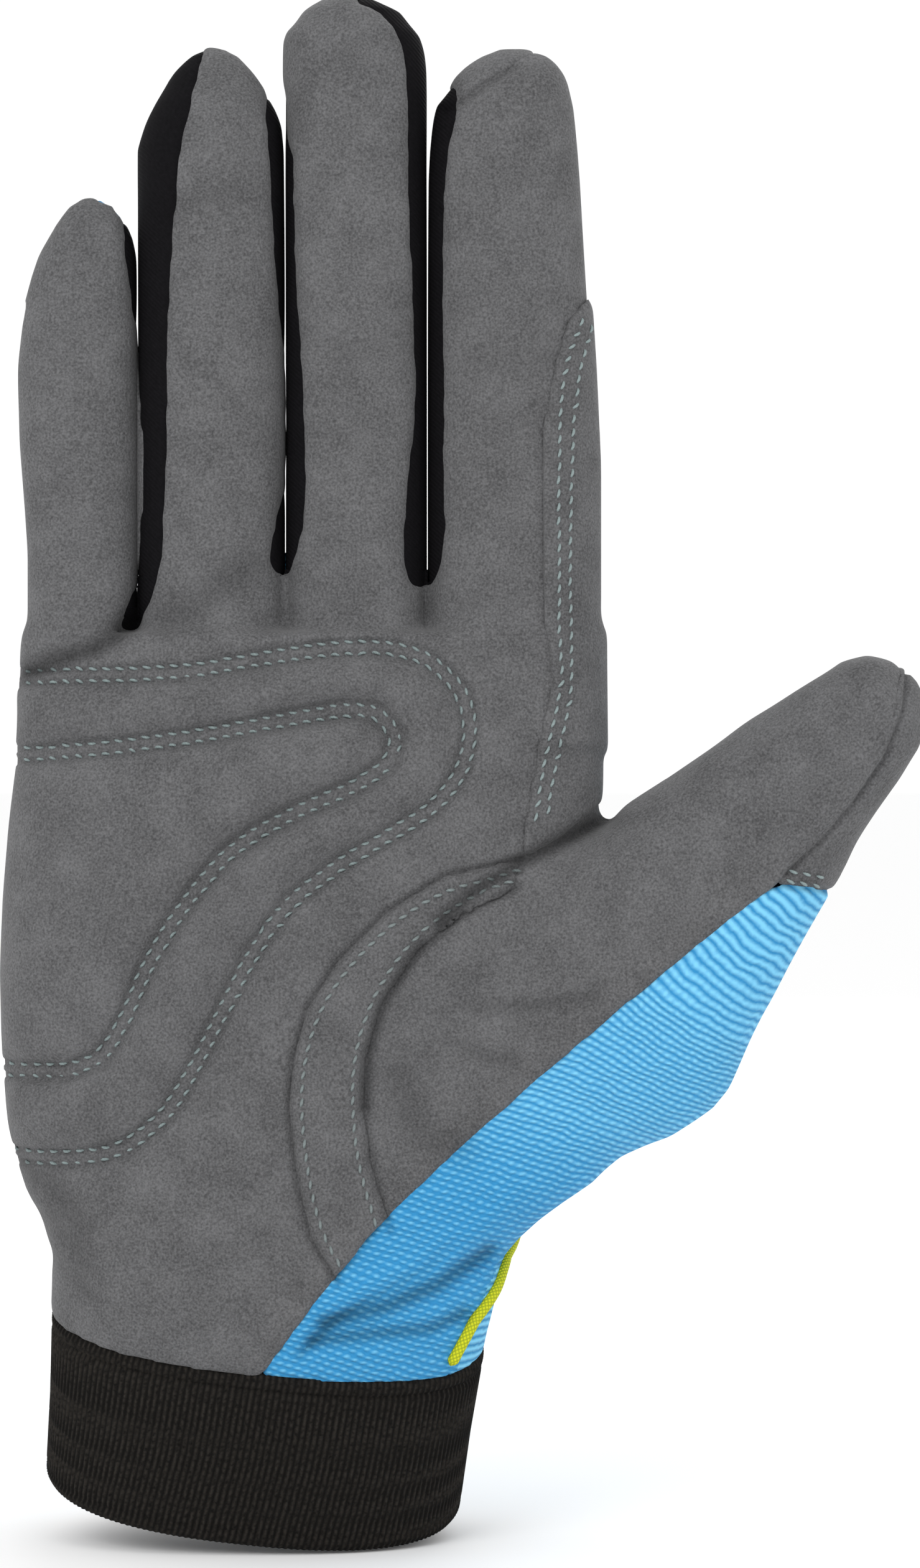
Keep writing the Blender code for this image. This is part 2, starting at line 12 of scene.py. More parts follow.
import bpy
import numpy as np
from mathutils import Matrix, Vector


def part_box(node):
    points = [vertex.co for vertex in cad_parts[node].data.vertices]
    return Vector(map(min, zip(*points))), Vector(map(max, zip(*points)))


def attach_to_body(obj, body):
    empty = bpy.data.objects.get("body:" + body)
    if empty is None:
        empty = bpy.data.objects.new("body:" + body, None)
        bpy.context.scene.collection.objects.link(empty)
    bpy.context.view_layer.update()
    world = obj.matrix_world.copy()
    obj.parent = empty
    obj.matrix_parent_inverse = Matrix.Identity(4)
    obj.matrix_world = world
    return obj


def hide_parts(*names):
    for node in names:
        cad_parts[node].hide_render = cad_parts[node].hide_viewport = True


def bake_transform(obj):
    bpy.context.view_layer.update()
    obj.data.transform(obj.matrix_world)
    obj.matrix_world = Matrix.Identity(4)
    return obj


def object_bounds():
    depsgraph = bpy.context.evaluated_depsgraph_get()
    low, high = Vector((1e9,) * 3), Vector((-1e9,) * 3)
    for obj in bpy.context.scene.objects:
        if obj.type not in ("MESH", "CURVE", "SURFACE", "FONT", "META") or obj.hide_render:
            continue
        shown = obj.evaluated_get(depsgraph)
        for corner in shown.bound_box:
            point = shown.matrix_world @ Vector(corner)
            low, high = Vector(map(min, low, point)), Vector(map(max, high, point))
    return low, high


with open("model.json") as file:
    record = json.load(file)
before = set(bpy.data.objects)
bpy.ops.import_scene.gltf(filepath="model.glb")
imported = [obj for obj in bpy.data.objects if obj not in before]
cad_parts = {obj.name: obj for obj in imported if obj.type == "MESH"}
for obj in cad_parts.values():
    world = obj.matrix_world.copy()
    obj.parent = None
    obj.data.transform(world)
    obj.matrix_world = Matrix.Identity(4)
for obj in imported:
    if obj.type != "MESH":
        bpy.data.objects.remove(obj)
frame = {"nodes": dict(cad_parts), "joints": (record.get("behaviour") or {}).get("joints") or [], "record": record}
CAD_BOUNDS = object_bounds()
MM = 0.001

HAND_NODES = ("palm_panel", "back_panel", "thumb_side_panel")
FINGERS = ("little", "ring", "middle", "index")
GUSSETS = {"little": ("right",), "ring": ("left", "right"), "middle": ("left", "right"), "index": ("left",)}
WEBS = ("little_ring_crotch_gusset", "ring_middle_crotch_gusset", "middle_index_crotch_gusset")
JOINTS = {joint["name"]: joint for joint in frame["joints"]}

# Camera, at the height of the glove's middle, and the depths of the cloth that it sees
CAMERA_DISTANCE = 750.0
VIEW_CENTRE = (33.55, 113.7)
VIEW_PLANE_Y = -8.5
VIEW_HEIGHT = 252.0
SENSOR = 36.0
FINGER_FACE_Y = -19.0
PALM_FACE_Y = -25.0

# Light
WORLD_LIGHT = 1.03
LAMPS = (("key", (-0.6, -1.2, 0.9), 0.8, 7.0), ("fill", (0.8, -1.2, 0.3), 1.0, 2.0),
         ("back", (0.3, 1.4, 0.9), 1.0, 5.0))
LAMP_TARGET = (0.035, 0.0, 0.12)
FLOOR_HALF = 60.0
FLOOR_GAP = 0.2

# Depths at which the palm side meets the back, on the fingers and on the thumb
BACK_SEAM_Y = -5.5
THUMB_SEAM_Y = -12.0
THUMB_SEAM_HEIGHTS = (-4.0, 18.0)
THUMB_SEAM_SIDES = (-24.6, -14.6)
PALM_FRONT_Y = -8.0
STRIP_EDGE_Y = -5.0
THUMB_CAP_BACK_Y = -6.0
THUMB_CAP_HEIGHT = 48.0

# How far each layer stands out from the field's surface, and how deep it goes
SUEDE_TOP = 0.35
KNIT_TOP = 0.0
LAPPED_TOP = 0.15
CAP_TOP = 0.4
GUSSET_TOP = -0.05
OVERLAY_TOP = 1.25
BAND_TOP = 1.15
LAYER_DEPTH = 2.4
OVERLAY_DEPTH = 1.0
FOAM_TOP = 2.6
FOAM_DEPTH = 4.6
FOAM_INSET = 1.5
FOAM_BACK_Y = -11.0

# How far one piece runs under its neighbour at a seam, and how round its edge is
SEAM_LAP = 0.9
KNIT_LAP = 1.0
GUSSET_LAP = 1.2
LAYER_ROLL = 0.6
EDGE_ROLL = 1.2
CRISP_ROLL = 0.4
CREASE_ROLL = 0.15
EDGE_WAVE = 0.16
KNIT_BLEND = 2.0
CAP_ROLL_FADE = (0.5, 4.0)
CAP_KNIT_SHORT = 1.3
CAP_KNIT_FADE = (0.3, 1.5)

# Windows of the grid, as two corners
THUMB_TIP_BOX = ((70, -40, 80), (115, 30, 150))
THUMB_BAND_BOX = ((0, -40, 25), (60, 0, 112))
STRIP_BOX = ((34, -40, 100), (66, 10, 152))
PAD_BOX = ((-47, -40, 48), (40, 0, 140))
WEB_BOX = ((-14, -36, 130), (14, 20, 160))

# Heights on the fingers: the first two bound the stretch between the hand and the base, and the last two the
# stretch between the base and the tip. The thumb's heights are along the thumb.
FINGER_ZONES = {
    "little": (142.0, 161.0, 162.0, 185.0),
    "ring": (147.0, 169.0, 172.0, 195.0),
    "middle": (148.0, 170.0, 174.0, 199.0),
    "index": (146.0, 168.0, 171.0, 195.0),
}
THUMB_ZONE = (12.5, 26.0, 28.0, 48.0)
THUMB_KNUCKLE = 16.0
THUMB_WEB_X = -20.6
CROTCH_HALF_WIDTH = 1.6
CROTCH_RISE = 4.0

# Sections measured on the CAD nodes
ROW_STEP = 3.0
TIP_DEPTHS = (0.15, 0.5, 1.0, 1.8, 3.0, 4.6, 6.6, 9.0, 12.0, 16.0)
FINGER_NOTCH = 9.4
THUMB_NOTCH = 5.5
FINGER_ROOT_DEPTH = 40.0
TOUCHING = (0.4, 2.2)
PALM_HEIGHTS = (38.0, 138.0)
PALM_DEPTHS_X = 40.0
THUMB_SPAN = (53.0, 112.0)
BALL_HEIGHTS = (-20.0, 14.5, 4.0)
BALL_INNER_X = 4.0
BALL_SWELL = 1.1
BALL_SWELL_HEIGHTS = (-4.0, 12.0)
BALL_FOOT = ((-46.0, 18.0), (-37.0, 19.2), (-30.0, 20.8), (-25.0, 21.7))
CUFF_TOP = 28.0
CUFF_ROWS = (0.4, CUFF_TOP - 0.6, 7)
CUFF_BLEND = 20.0

# Colours
WHITE = (0.95, 0.95, 0.95, 1)
SUEDE_COLOURS = ((0.056, 0.056, 0.0577, 1), (0.140, 0.140, 0.1442, 1))
KNIT_COLOURS = ((0.030, 0.25, 0.52, 1), (0.19, 0.555, 0.81, 1))
STRETCH_COLOURS = ((0.0015, 0.0014, 0.0018, 1), (0.007, 0.0064, 0.0078, 1))
ELASTIC_COLOURS = ((0.005, 0.0045, 0.004, 1), (0.024, 0.021, 0.018, 1))
PIPING_COLOURS = ((0.25, 0.30, 0.01, 1), (0.76, 0.78, 0.02, 1))
LIGHT_THREAD_COLOURS = ((0.13, 0.17, 0.17, 1), (0.36, 0.43, 0.43, 1))
DARK_THREAD_COLOURS = ((0.10, 0.12, 0.12, 1), (0.28, 0.32, 0.32, 1))
FOAM_COLOUR = (0.6, 0.6, 0.58, 1)

# The distance field's grid, and the sweeps in it
PITCH = 1.0
GRID_LOW = np.array([-47.0, -37.0, 6.0])
GRID_SIZE = (162, 66, 242)
AXES = [GRID_LOW[i] + PITCH * np.arange(GRID_SIZE[i]) for i in range(3)]
ROUNDNESS = 2.4
SLOPE_REACH = 0.8
TINY = 1e-6
FAR = 900.0
FINGER_MARGIN = 8.0
FINGER_FRONT_Y = -36.0
FINGER_BACK_Y = 26.0
FINGER_LOW_Z = 118.0
FINGER_TOP_Z = 246.0
FINGER_STUMP_Z = 121.0
THUMB_BLEND = 5.0
FINGER_BLEND = 4.0
CROWN_BLEND = 3.0
BACK_FADE = (-6.0, 6.0)
BACK_FINGER_BLEND = 4.0
BACK_CROWN_BLEND = 9.0
CROWN = ((-60.0, 139.0), (-18.2, 140.8), (-6.0, 147.0), (5.5, 148.6), (28.4, 146.5), (70.0, 145.0))

# Unevenness: height, and the two waves multiplied, each as (x, y, z, shift)
WOBBLES = ((0.16, ((0.21, 0.0, 0.13, 0.4), (-0.11, 0.3, 0.17, 0.0))),
           (0.10, ((0.47, 0.2, -0.29, 0.0), (0.23, 0.0, 0.39, 1.1))))
SILHOUETTE_Y = -8.5
SILHOUETTE_FADE = (2.0, 7.0)
FOLD_FADE = (-15.0, -8.0)
PAD_FADE = (-21.0, -12.0)

# The heel's padding: puff, stitched channels, and the pucker beside them
PAD_PUFF = 1.9
PUFF_EDGE = (0.6, 6.5)
PUFF_INNER = (0.4, 5.5)
PAD_CHANNEL = 1.25
CHANNEL_WIDTH = 1.7
PUCKER = 0.22
PUCKER_WAVES = ((1.25, 0.0, 0.5, 0.0), (-0.4, 0.0, 1.1, 0.0))
PUCKER_AWAY = 3.0
PUCKER_WIDTH = 2.0

# Stitches, and the relief pressed in under them
SEAM_ROW_GAP = 2.0
STITCH_PITCH = 2.15
STITCH_LENGTH = 1.55
STITCH_RADIUS = 0.25
STITCH_SLANT = 0.24
STITCH_RINGS = 7
STITCH_SIDES = 6
HEEL_THREAD_DROP = 0.1
ROW_DEPTH = 0.55
ROW_WIDTH = 0.55
GROOVE_DEPTH = 0.7

# Cuff and piping
CUFF_RIB = 1.0
CUFF_RIB_DEPTH = 0.13
CUFF_COLUMNS = {"cuff_outer_layer": 1260, "cuff_inner_layer": 180}
CUFF_RING_STEP = 0.5
CUFF_CLOTH = 1.2
CUFF_EDGE = 0.9
CUFF_GROOVES = ((0.0, 0.7, 0.6), (2.2, 0.25, 0.4), (25.4, 0.55, 0.4), (28.0, 0.6, 0.5))
PIPING_RADIUS = 0.95
PIPING_LIFT = 0.35
PIPING_STEP = 0.5
PIPING_ROUNDS = 40
PIPING_END = 2.0
PIPING_SIDES = 12
PIPING_SPLIT_Y = -11.0

# Knit coordinates on the thumb's side, and the painted shade of the cloth: darker towards the wrist, and down in
# folds and stitched channels
THUMB_SEAM_X = 5.0
RIB_TURN = (10.0, -25.0)
LOWER_RIB_SLOPE = 0.55
UPPER_RIB_CURVE = 0.018
UPPER_RIBS = 2.0
UPPER_RIB_SPREAD = 0.28
KNIT_RIB = 1.2
KNIT_CELL = 1.25
WAFFLE_HEIGHTS = (16.0, -6.0)
WRIST_HEIGHTS = (-24.0, -44.0)
WRIST_SHADE = 0.35
HOLLOW_DEPTH = 2.2
HOLLOW_SHADE = 0.65


# Outlines on the palm side, as (x, z)


def facing(outline, depth):
    """An outline drawn as the camera sees it on the view plane, moved along the sight lines to a depth."""
    share = 1 + (depth - VIEW_PLANE_Y) / CAMERA_DISTANCE
    cx, cz = VIEW_CENTRE
    return [(cx + (x - cx) * share, cz + (z - cz) * share) for x, z in outline]


def on_fingers(*outline):
    return facing(outline, FINGER_FACE_Y)


def on_palm(*outline):
    return facing(outline, PALM_FACE_Y)


# The gaps between the fingers, and the black bands that show in them
SLITS = (-18.15, 5.5, 28.3)
SLIT_BANDS = (
    on_fingers((-21.6, 138.6), (-19.6, 143.7), (-18.0, 149.7), (-17.5, 158.0), (-17.3, 167.7),
               (-18.1, 179.7), (-19.4, 191.7), (-20.4, 200.0), (-20.9, 206.0), (-22.0, 210.0),
               (-30.0, 212.0), (-30.0, 238.0), (-7.6, 238.0), (-8.6, 230.5), (-10.3, 221.7), (-11.7, 215.7),
               (-12.7, 205.0), (-13.5, 194.0), (-13.9, 183.0), (-13.9, 168.0), (-14.5, 158.0),
               (-14.8, 150.0), (-16.5, 143.7), (-19.3, 138.6)),
    on_fingers((3.9, 148.0), (3.0, 150.0), (3.7, 155.0), (5.2, 161.7), (5.6, 169.0), (5.4, 180.0),
               (4.5, 190.0), (3.7, 200.0), (3.2, 213.0), (2.4, 221.7), (2.6, 225.5), (5.2, 226.5),
               (5.3, 219.0), (6.4, 215.0), (6.6, 204.0), (6.8, 195.0), (7.5, 186.0), (8.0, 176.0),
               (8.5, 163.0), (8.0, 155.7), (6.9, 151.0), (5.8, 148.0)),
    on_fingers((25.9, 146.0), (24.8, 148.4), (24.8, 155.7), (25.3, 162.0), (26.2, 170.0), (26.7, 178.0),
               (26.3, 187.0), (25.9, 198.0), (25.4, 212.0), (25.4, 224.0), (24.8, 231.0), (23.2, 235.6),
               (20.4, 238.4), (17.0, 239.6), (17.0, 246.0), (29.0, 246.0), (29.0, 226.5), (32.6, 226.0),
               (33.0, 222.6), (31.6, 217.0), (30.9, 212.0), (30.6, 200.0), (30.5, 188.0), (30.8, 177.0),
               (30.6, 166.0), (30.9, 155.7), (30.4, 149.6), (28.8, 146.0)),
)

# Seams, overlays and pads
THUMB_SEAM = on_fingers((-8.0, 6.0), (3.6, 21.5), (9.6, 29.7), (19.1, 41.7), (31.7, 53.7), (45.4, 65.7),
                        (59.3, 77.7), (73.9, 89.7), (84.4, 97.9), (91.3, 105.5), (97.6, 112.1),
                        (101.7, 118.4), (104.3, 131.9), (106.0, 145.0))
THUMB_CAP_EDGE = on_fingers((80.0, 99.0), (84.4, 97.6), (92.9, 96.4), (100.0, 97.0))
INDEX_STRIP = on_fingers((43.4, 101.5), (44.0, 108.0), (46.4, 121.6), (48.3, 130.0), (47.2, 138.0),
                         (46.8, 146.0), (46.8, 171.0), (48.9, 181.8), (51.0, 188.6), (54.8, 192.9),
                         (80.0, 192.0), (80.0, 115.0), (56.4, 110.6), (50.0, 105.2))
THUMB_BAND = on_palm((43.7, 101.7), (31.0, 99.0), (21.7, 93.3), (13.9, 85.4), (8.9, 77.6), (6.7, 69.7),
                     (6.0, 61.8), (7.5, 49.7), (9.6, 41.1), (14.0, 34.0), (22.4, 43.2), (19.2, 53.3),
                     (18.2, 62.6), (18.5, 69.7), (21.0, 78.3), (26.7, 86.8), (33.6, 92.6), (42.0, 96.4))
OUTER_PAD = on_palm((-60.0, 131.0), (-35.4, 131.1), (-11.4, 131.6), (1.2, 133.9), (12.5, 135.6),
                    (21.3, 135.9), (28.3, 134.1), (33.9, 128.8), (35.4, 122.5), (33.9, 115.6),
                    (29.5, 109.9), (21.3, 104.9), (13.8, 100.5), (6.2, 94.8), (0.6, 87.2), (-3.9, 78.4),
                    (-8.3, 69.6), (-13.3, 60.8), (-20.2, 55.1), (-27.8, 53.2), (-60.0, 53.0))
INNER_PAD = on_palm((-60.0, 118.6), (-36.0, 118.5), (-21.5, 119.7), (-7.6, 121.5), (2.4, 123.5),
                    (15.0, 125.8), (20.1, 125.3), (23.2, 121.9), (22.6, 117.5), (17.6, 113.7), (8.7, 109.9),
                    (1.2, 106.1), (-3.9, 102.4), (-8.9, 96.7), (-13.3, 90.4), (-17.1, 83.5), (-20.2, 75.9),
                    (-24.0, 69.6), (-30.3, 67.1), (-60.0, 67.4))
INDEX_TIP_CREASE = on_fingers((31.0, 222.4), (35.1, 224.2), (38.8, 226.8), (42.5, 229.2), (45.6, 231.6))
THUMB_TIP_SEAM = on_fingers((85.6, 99.2), (91.4, 104.6), (96.4, 110.4), (101.3, 117.7), (104.4, 125.6),
                            (105.4, 131.6))
THUMB_BAND_GROOVE = on_palm((22.4, 42.2), (19.2, 53.3), (18.2, 62.6), (18.5, 69.7), (21.0, 78.3),
                            (26.7, 86.8), (33.6, 92.6), (43.0, 97.4))

# Double rows as (outline, distance between the rows), and single seams as (outline, half width)
DOUBLE_ROWS = ((OUTER_PAD, SEAM_ROW_GAP), (INNER_PAD, SEAM_ROW_GAP))
SINGLE_GROOVES = ((INDEX_TIP_CREASE[:4], 0.7), (THUMB_BAND_GROOVE, 0.7), (THUMB_BAND[:10], 0.5),
                  (THUMB_CAP_EDGE[1:3], 0.5), (THUMB_TIP_SEAM, 0.4))

# Rows of stitches
INDEX_ROWS = (
    on_fingers((53.4, 189.2), (50.6, 182.3), (49.4, 173.7), (49.3, 159.3), (49.4, 135.0), (50.0, 131.0),
               (48.6, 124.0), (46.5, 115.0), (45.6, 108.0)),
    on_fingers((55.0, 188.4), (52.8, 181.2), (51.6, 172.0), (51.3, 160.0), (51.1, 148.2), (51.5, 131.0),
               (50.6, 124.1), (48.3, 114.9), (47.4, 108.0)),
)
THUMB_BAND_ROWS = (
    on_palm((43.7, 99.7), (31.6, 97.0), (22.9, 91.6), (15.4, 84.2), (10.7, 76.8), (8.6, 69.3), (8.0, 61.8),
            (9.4, 50.1), (11.5, 41.8), (15.0, 35.6)),
    on_palm((42.4, 98.2), (32.3, 94.2), (25.0, 88.0), (19.2, 79.2), (16.5, 70.0), (16.2, 62.4),
            (17.2, 52.8), (20.2, 42.8)),
)
THUMB_CAP_ROWS = (
    on_fingers((85.6, 99.9), (92.6, 98.7)),
    on_fingers((85.2, 98.3), (92.4, 97.1)),
)

# Folds, as (outline, depth, half width); a fold with a depth below 0 stands out
FOLDS = (
    (on_palm((-37.0, 131.6), (-32.4, 133.6), (-26.0, 135.4), (-22.5, 137.4), (-20.6, 139.4)), 2.0, 1.8),
    (on_palm((-38.0, 128.4), (-30.0, 130.6), (-22.0, 133.0)), -0.7, 2.6),
    (on_palm((-14.0, 140.0), (-7.0, 144.5), (0.0, 148.8)), 0.8, 2.6),
    (on_palm((-40.0, 52.5), (-33.0, 49.0), (-27.5, 42.5)), 0.8, 2.2),
    (on_palm((-38.5, 45.0), (-32.0, 42.0), (-27.0, 36.5)), 0.8, 1.7),
    (on_palm((-36.0, 38.6), (-31.0, 36.0), (-26.0, 31.0)), 0.6, 1.5),
    (on_palm((58.0, 108.3), (49.5, 104.2), (43.4, 101.0), (36.0, 96.4), (30.5, 91.6)), 2.1, 1.5),
    (on_palm((27.5, 88.2), (24.5, 84.0), (21.2, 78.0), (18.8, 69.7), (18.4, 62.0)), 0.9, 1.2),
    (on_palm((60.0, 102.0), (46.0, 96.0), (37.0, 90.0), (31.0, 82.5), (27.0, 74.0)), -1.3, 4.2),
    (on_palm((28.5, 79.4), (36.0, 77.8), (46.0, 78.0), (55.0, 79.6)), 0.75, 1.3),
    (on_palm((27.5, 77.5), (30.5, 73.0), (37.0, 70.0), (42.0, 69.4)), 0.7, 1.3),
    (on_palm((24.0, 68.0), (27.0, 58.0), (34.0, 55.0)), 0.6, 3.0),
    (on_palm((12.0, 27.5), (22.0, 30.0), (30.0, 33.0), (38.0, 38.0)), 1.7, 1.5),
    (on_palm((10.0, 24.5), (20.0, 25.6), (28.8, 26.0), (34.0, 28.0)), 1.4, 1.2),
    (on_palm((14.0, 31.0), (24.0, 36.0), (34.0, 40.5), (42.0, 46.5)), -0.8, 2.0),
    (on_palm((8.0, 22.5), (14.0, 28.5), (21.0, 32.5), (28.0, 36.0), (33.0, 40.0)), 0.9, 0.9),
    (on_palm((-14.0, 205.0), (-9.0, 209.0), (-3.0, 209.5)), 0.3, 2.4),
    (on_palm((32.0, 183.0), (40.0, 181.0), (49.0, 184.0)), 0.35, 2.6),
    (on_palm((9.0, 186.0), (16.0, 184.0), (24.0, 187.0)), 0.3, 2.6),
)

# Where the back's knit shows on the palm side, as (x, z, reach, how far forward)
KNIT_GLIMPSES = ((-24.0, 207.2, 2.4, 6.5), (-20.6, 205.0, 2.4, 7.0), (-36.8, 189.5, 2.2, 7.5),
                 (-5.2, 231.2, 2.6, 6.5))

# Regions, as outlines: the knit, the thumb's cap, the index cap, and the back panel behind and in front of
# the piping
KNIT_SIDE = THUMB_SEAM + [(200.0, 145.0), (200.0, -20.0), (-8.0, -20.0)]
CAP_REGION = THUMB_CAP_EDGE + [(120.0, 100.0), (120.0, 150.0), (98.0, 150.0), (98.0, 131.9), (95.0, 118.0),
                               (89.0, 109.5), (80.0, 103.0)]
INDEX_CAP = [(20.0, 222.6), *INDEX_TIP_CREASE, (70.0, 236.0), (70.0, 250.0), (20.0, 250.0)]
BACK_ZONE = [(-80.0, -40.0), (90.0, -40.0), (90.0, 36.5), (39.4, 36.5), (41.0, 40.5), (42.6, 45.5),
             (43.6, 52.0), (43.6, 60.0), (44.6, 70.0), (49.4, 92.0), (55.4, 103.6), (56.0, 110.0),
             (80.0, 140.0), (80.0, 260.0), (-80.0, 260.0)]
FRONT_BACK_ZONE = [(32.4, 0.0), (33.0, 20.5), (34.4, 26.0), (36.6, 31.0), (39.4, 36.5), (60.0, 36.5),
                   (60.0, 0.0)]

# The piping's way round the wrist and up the back
PIPING_ROUTE = [(34.0, -24.0, 20.5), (35.4, -22.0, 26.0), (37.4, -19.0, 31.0), (39.6, -13.0, 36.0),
                (41.0, -6.0, 40.5), (42.6, 2.0, 45.5), (43.6, 9.0, 52.0), (43.6, 14.0, 60.0),
                (44.6, 14.0, 70.0), (49.4, 12.0, 92.0), (55.0, 8.0, 102.5)]


# Measuring the frame


class Place:
    """A local frame: an origin and three unit axes, in millimetres of the part."""

    def __init__(self, origin, x, y, z):
        self.origin = np.array(origin, float)
        self.axes = np.array([x, y, z], float)

    def local(self, points):
        return (points - self.origin) @ self.axes.T

    def world(self, points):
        return np.asarray(points) @ self.axes + self.origin

    def along(self, axis, x, y, z):
        """One local coordinate of a grid of places."""
        return sum((at - start) * part for at, start, part in zip((x, y, z), self.origin, self.axes[axis]))


def in_mm(vector):
    return np.array(vector, float) / MM


def unit(vector):
    return np.asarray(vector, float) / np.linalg.norm(vector)


def thumb_place():
    """Z along the thumb, X along its hinges. Height 0 is one knuckle length below the knuckle."""
    knuckle = in_mm(JOINTS["thumb_knuckle"]["pos_m"])
    along = unit(in_mm(JOINTS["thumb_middle"]["pos_m"]) - knuckle)
    origin = knuckle - THUMB_KNUCKLE * along
    origin[1] = 0.0
    return Place(origin, JOINTS["thumb_knuckle"]["axis"], (0, 1, 0), along)


def cuff_place():
    mount = next(m for m in frame["record"]["mounts"] if m["name"] == "hand_opening")
    up = -unit(mount["axis"])
    across = unit((up[2], 0.0, -up[0]))
    return Place(in_mm(mount["pos_m"]), across, np.cross(up, across), up)


WORLD = Place((0, 0, 0), (1, 0, 0), (0, 1, 0), (0, 0, 1))
THUMB = thumb_place()
CUFF = cuff_place()
THUMB_MIDDLE = float(THUMB.local(in_mm(JOINTS["thumb_middle"]["pos_m"]))[2])


def edges_of(names):
    """Both ends of every triangle edge of these CAD nodes, in millimetres."""
    found = []
    for name in names:
        mesh = frame["nodes"][name].data
        mesh.calc_loop_triangles()
        points = np.array([v.co for v in mesh.vertices], float) / MM
        corners = np.array([t.vertices for t in mesh.loop_triangles], int)
        for a, b in ((0, 1), (1, 2), (2, 0)):
            found.append(np.stack([points[corners[:, a]], points[corners[:, b]]], axis=1))
    return np.concatenate(found)


def section(edges, place, height, keep=None):
    """The box (left, right, front, back) of the nodes' cut at one height of a local frame, or None."""
    a, b = place.local(edges[:, 0]), place.local(edges[:, 1])
    crossing = (a[:, 2] - height) * (b[:, 2] - height) < 0
    a, b = a[crossing], b[crossing]
    share = ((height - a[:, 2]) / (b[:, 2] - a[:, 2]))[:, None]
    points = a + share * (b - a)
    if keep is not None:
        points = points[keep(points)]
    if len(points) == 0:
        return None
    return points[:, 0].min(), points[:, 0].max(), points[:, 1].min(), points[:, 1].max()


def heights_to(top, bottom):
    """Heights from bottom to top, close together under the top, where a tip rounds off."""
    near_top = top - np.array(TIP_DEPTHS)
    lower = np.arange(bottom, near_top.min() - ROW_STEP / 2, ROW_STEP)
    return np.concatenate([lower, near_top[::-1]])


def measured(edges, place, heights, keep=None):
    rows = [(h, section(edges, place, h, keep)) for h in heights]
    return np.array([(h, *box) for h, box in rows if box is not None])


def without_notches(rows, hinges, reach):
    """The rows with the front drawn straight across the notches that the CAD cuts at its hinges."""
    clear = np.all([np.abs(rows[:, 0] - hinge) > reach for hinge in hinges], axis=0)
    rows[:, 3] = np.interp(rows[:, 0], rows[clear, 0], rows[clear, 3])
    return rows


def finger_height(finger, joint):
    return JOINTS[f"{finger}_{joint}"]["pos_m"][2] / MM


def nodes_on(*bodies):
    return [name for body in bodies for name in frame["record"]["behaviour"]["bodies"][body]
            if "reinforcement" not in name]


def finger_rows(finger):
    names = nodes_on(f"{finger}_base", f"{finger}_tip")
    top = max(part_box(name)[1].z for name in names) / MM
    knuckle, middle = finger_height(finger, "knuckle"), finger_height(finger, "middle")
    heights = np.append(heights_to(top, knuckle + 0.6), (knuckle + middle) / 2 - 0.7)
    rows = measured(edges_of(names), WORLD, np.sort(heights))
    rows = without_notches(rows, (knuckle, middle), FINGER_NOTCH)
    for side in (1, 2):
        for slit in SLITS:
            away = slit - rows[:, side]
            rows[:, side] += away * (1 - step(np.abs(away), *TOUCHING))
    root = rows[0].copy()
    root[0] = knuckle - FINGER_ROOT_DEPTH
    return np.vstack([root, rows])


def palm_rows():
    """The hand without its thumb. Between the thumb's lower and upper edge its side is a straight line."""
    edges = edges_of(HAND_NODES)
    heights = np.arange(*PALM_HEIGHTS, ROW_STEP)
    sides = measured(edges, WORLD, heights)
    depths = measured(edges, WORLD, heights, lambda p: p[:, 0] < PALM_DEPTHS_X)
    rows = np.column_stack([sides[:, :3], depths[:, 3:]])
    free = (rows[:, 0] < THUMB_SPAN[0]) | (rows[:, 0] > THUMB_SPAN[1])
    rows[:, 2] = np.interp(rows[:, 0], rows[free, 0], rows[free, 2])
    return rows


def thumb_rows():
    names = nodes_on("thumb_base", "thumb_tip")
    edges = edges_of(names)
    top = THUMB.local(edges[:, 0])[:, 2].max()
    free = measured(edges, THUMB, heights_to(top, THUMB_KNUCKLE + 1.0))
    root = measured(edges_of(HAND_NODES), THUMB, np.arange(*BALL_HEIGHTS), lambda p: p[:, 0] > BALL_INNER_X)
    root[:, 1] = free[0, 1]
    root[:, 2] += BALL_SWELL * (1 - step(root[:, 0], *BALL_SWELL_HEIGHTS))
    foot = [(height, root[0, 1], right, *root[0, 3:]) for height, right in BALL_FOOT]
    rows = np.vstack([foot, root, free])
    return without_notches(rows, (THUMB_KNUCKLE, THUMB_MIDDLE), THUMB_NOTCH)


def cuff_rows(node):
    return measured(edges_of([node]), CUFF, np.linspace(*CUFF_ROWS))


# Distance fields on one grid


def window(low, high):
    """The grid's slices between two corners."""
    made = []
    for i in range(3):
        first = max(int(math.floor((low[i] - GRID_LOW[i]) / PITCH)), 0)
        last = min(int(math.ceil((high[i] - GRID_LOW[i]) / PITCH)) + 1, GRID_SIZE[i])
        made.append(slice(first, last))
    return tuple(made)


WHOLE = window(GRID_LOW, GRID_LOW + PITCH * np.array(GRID_SIZE))


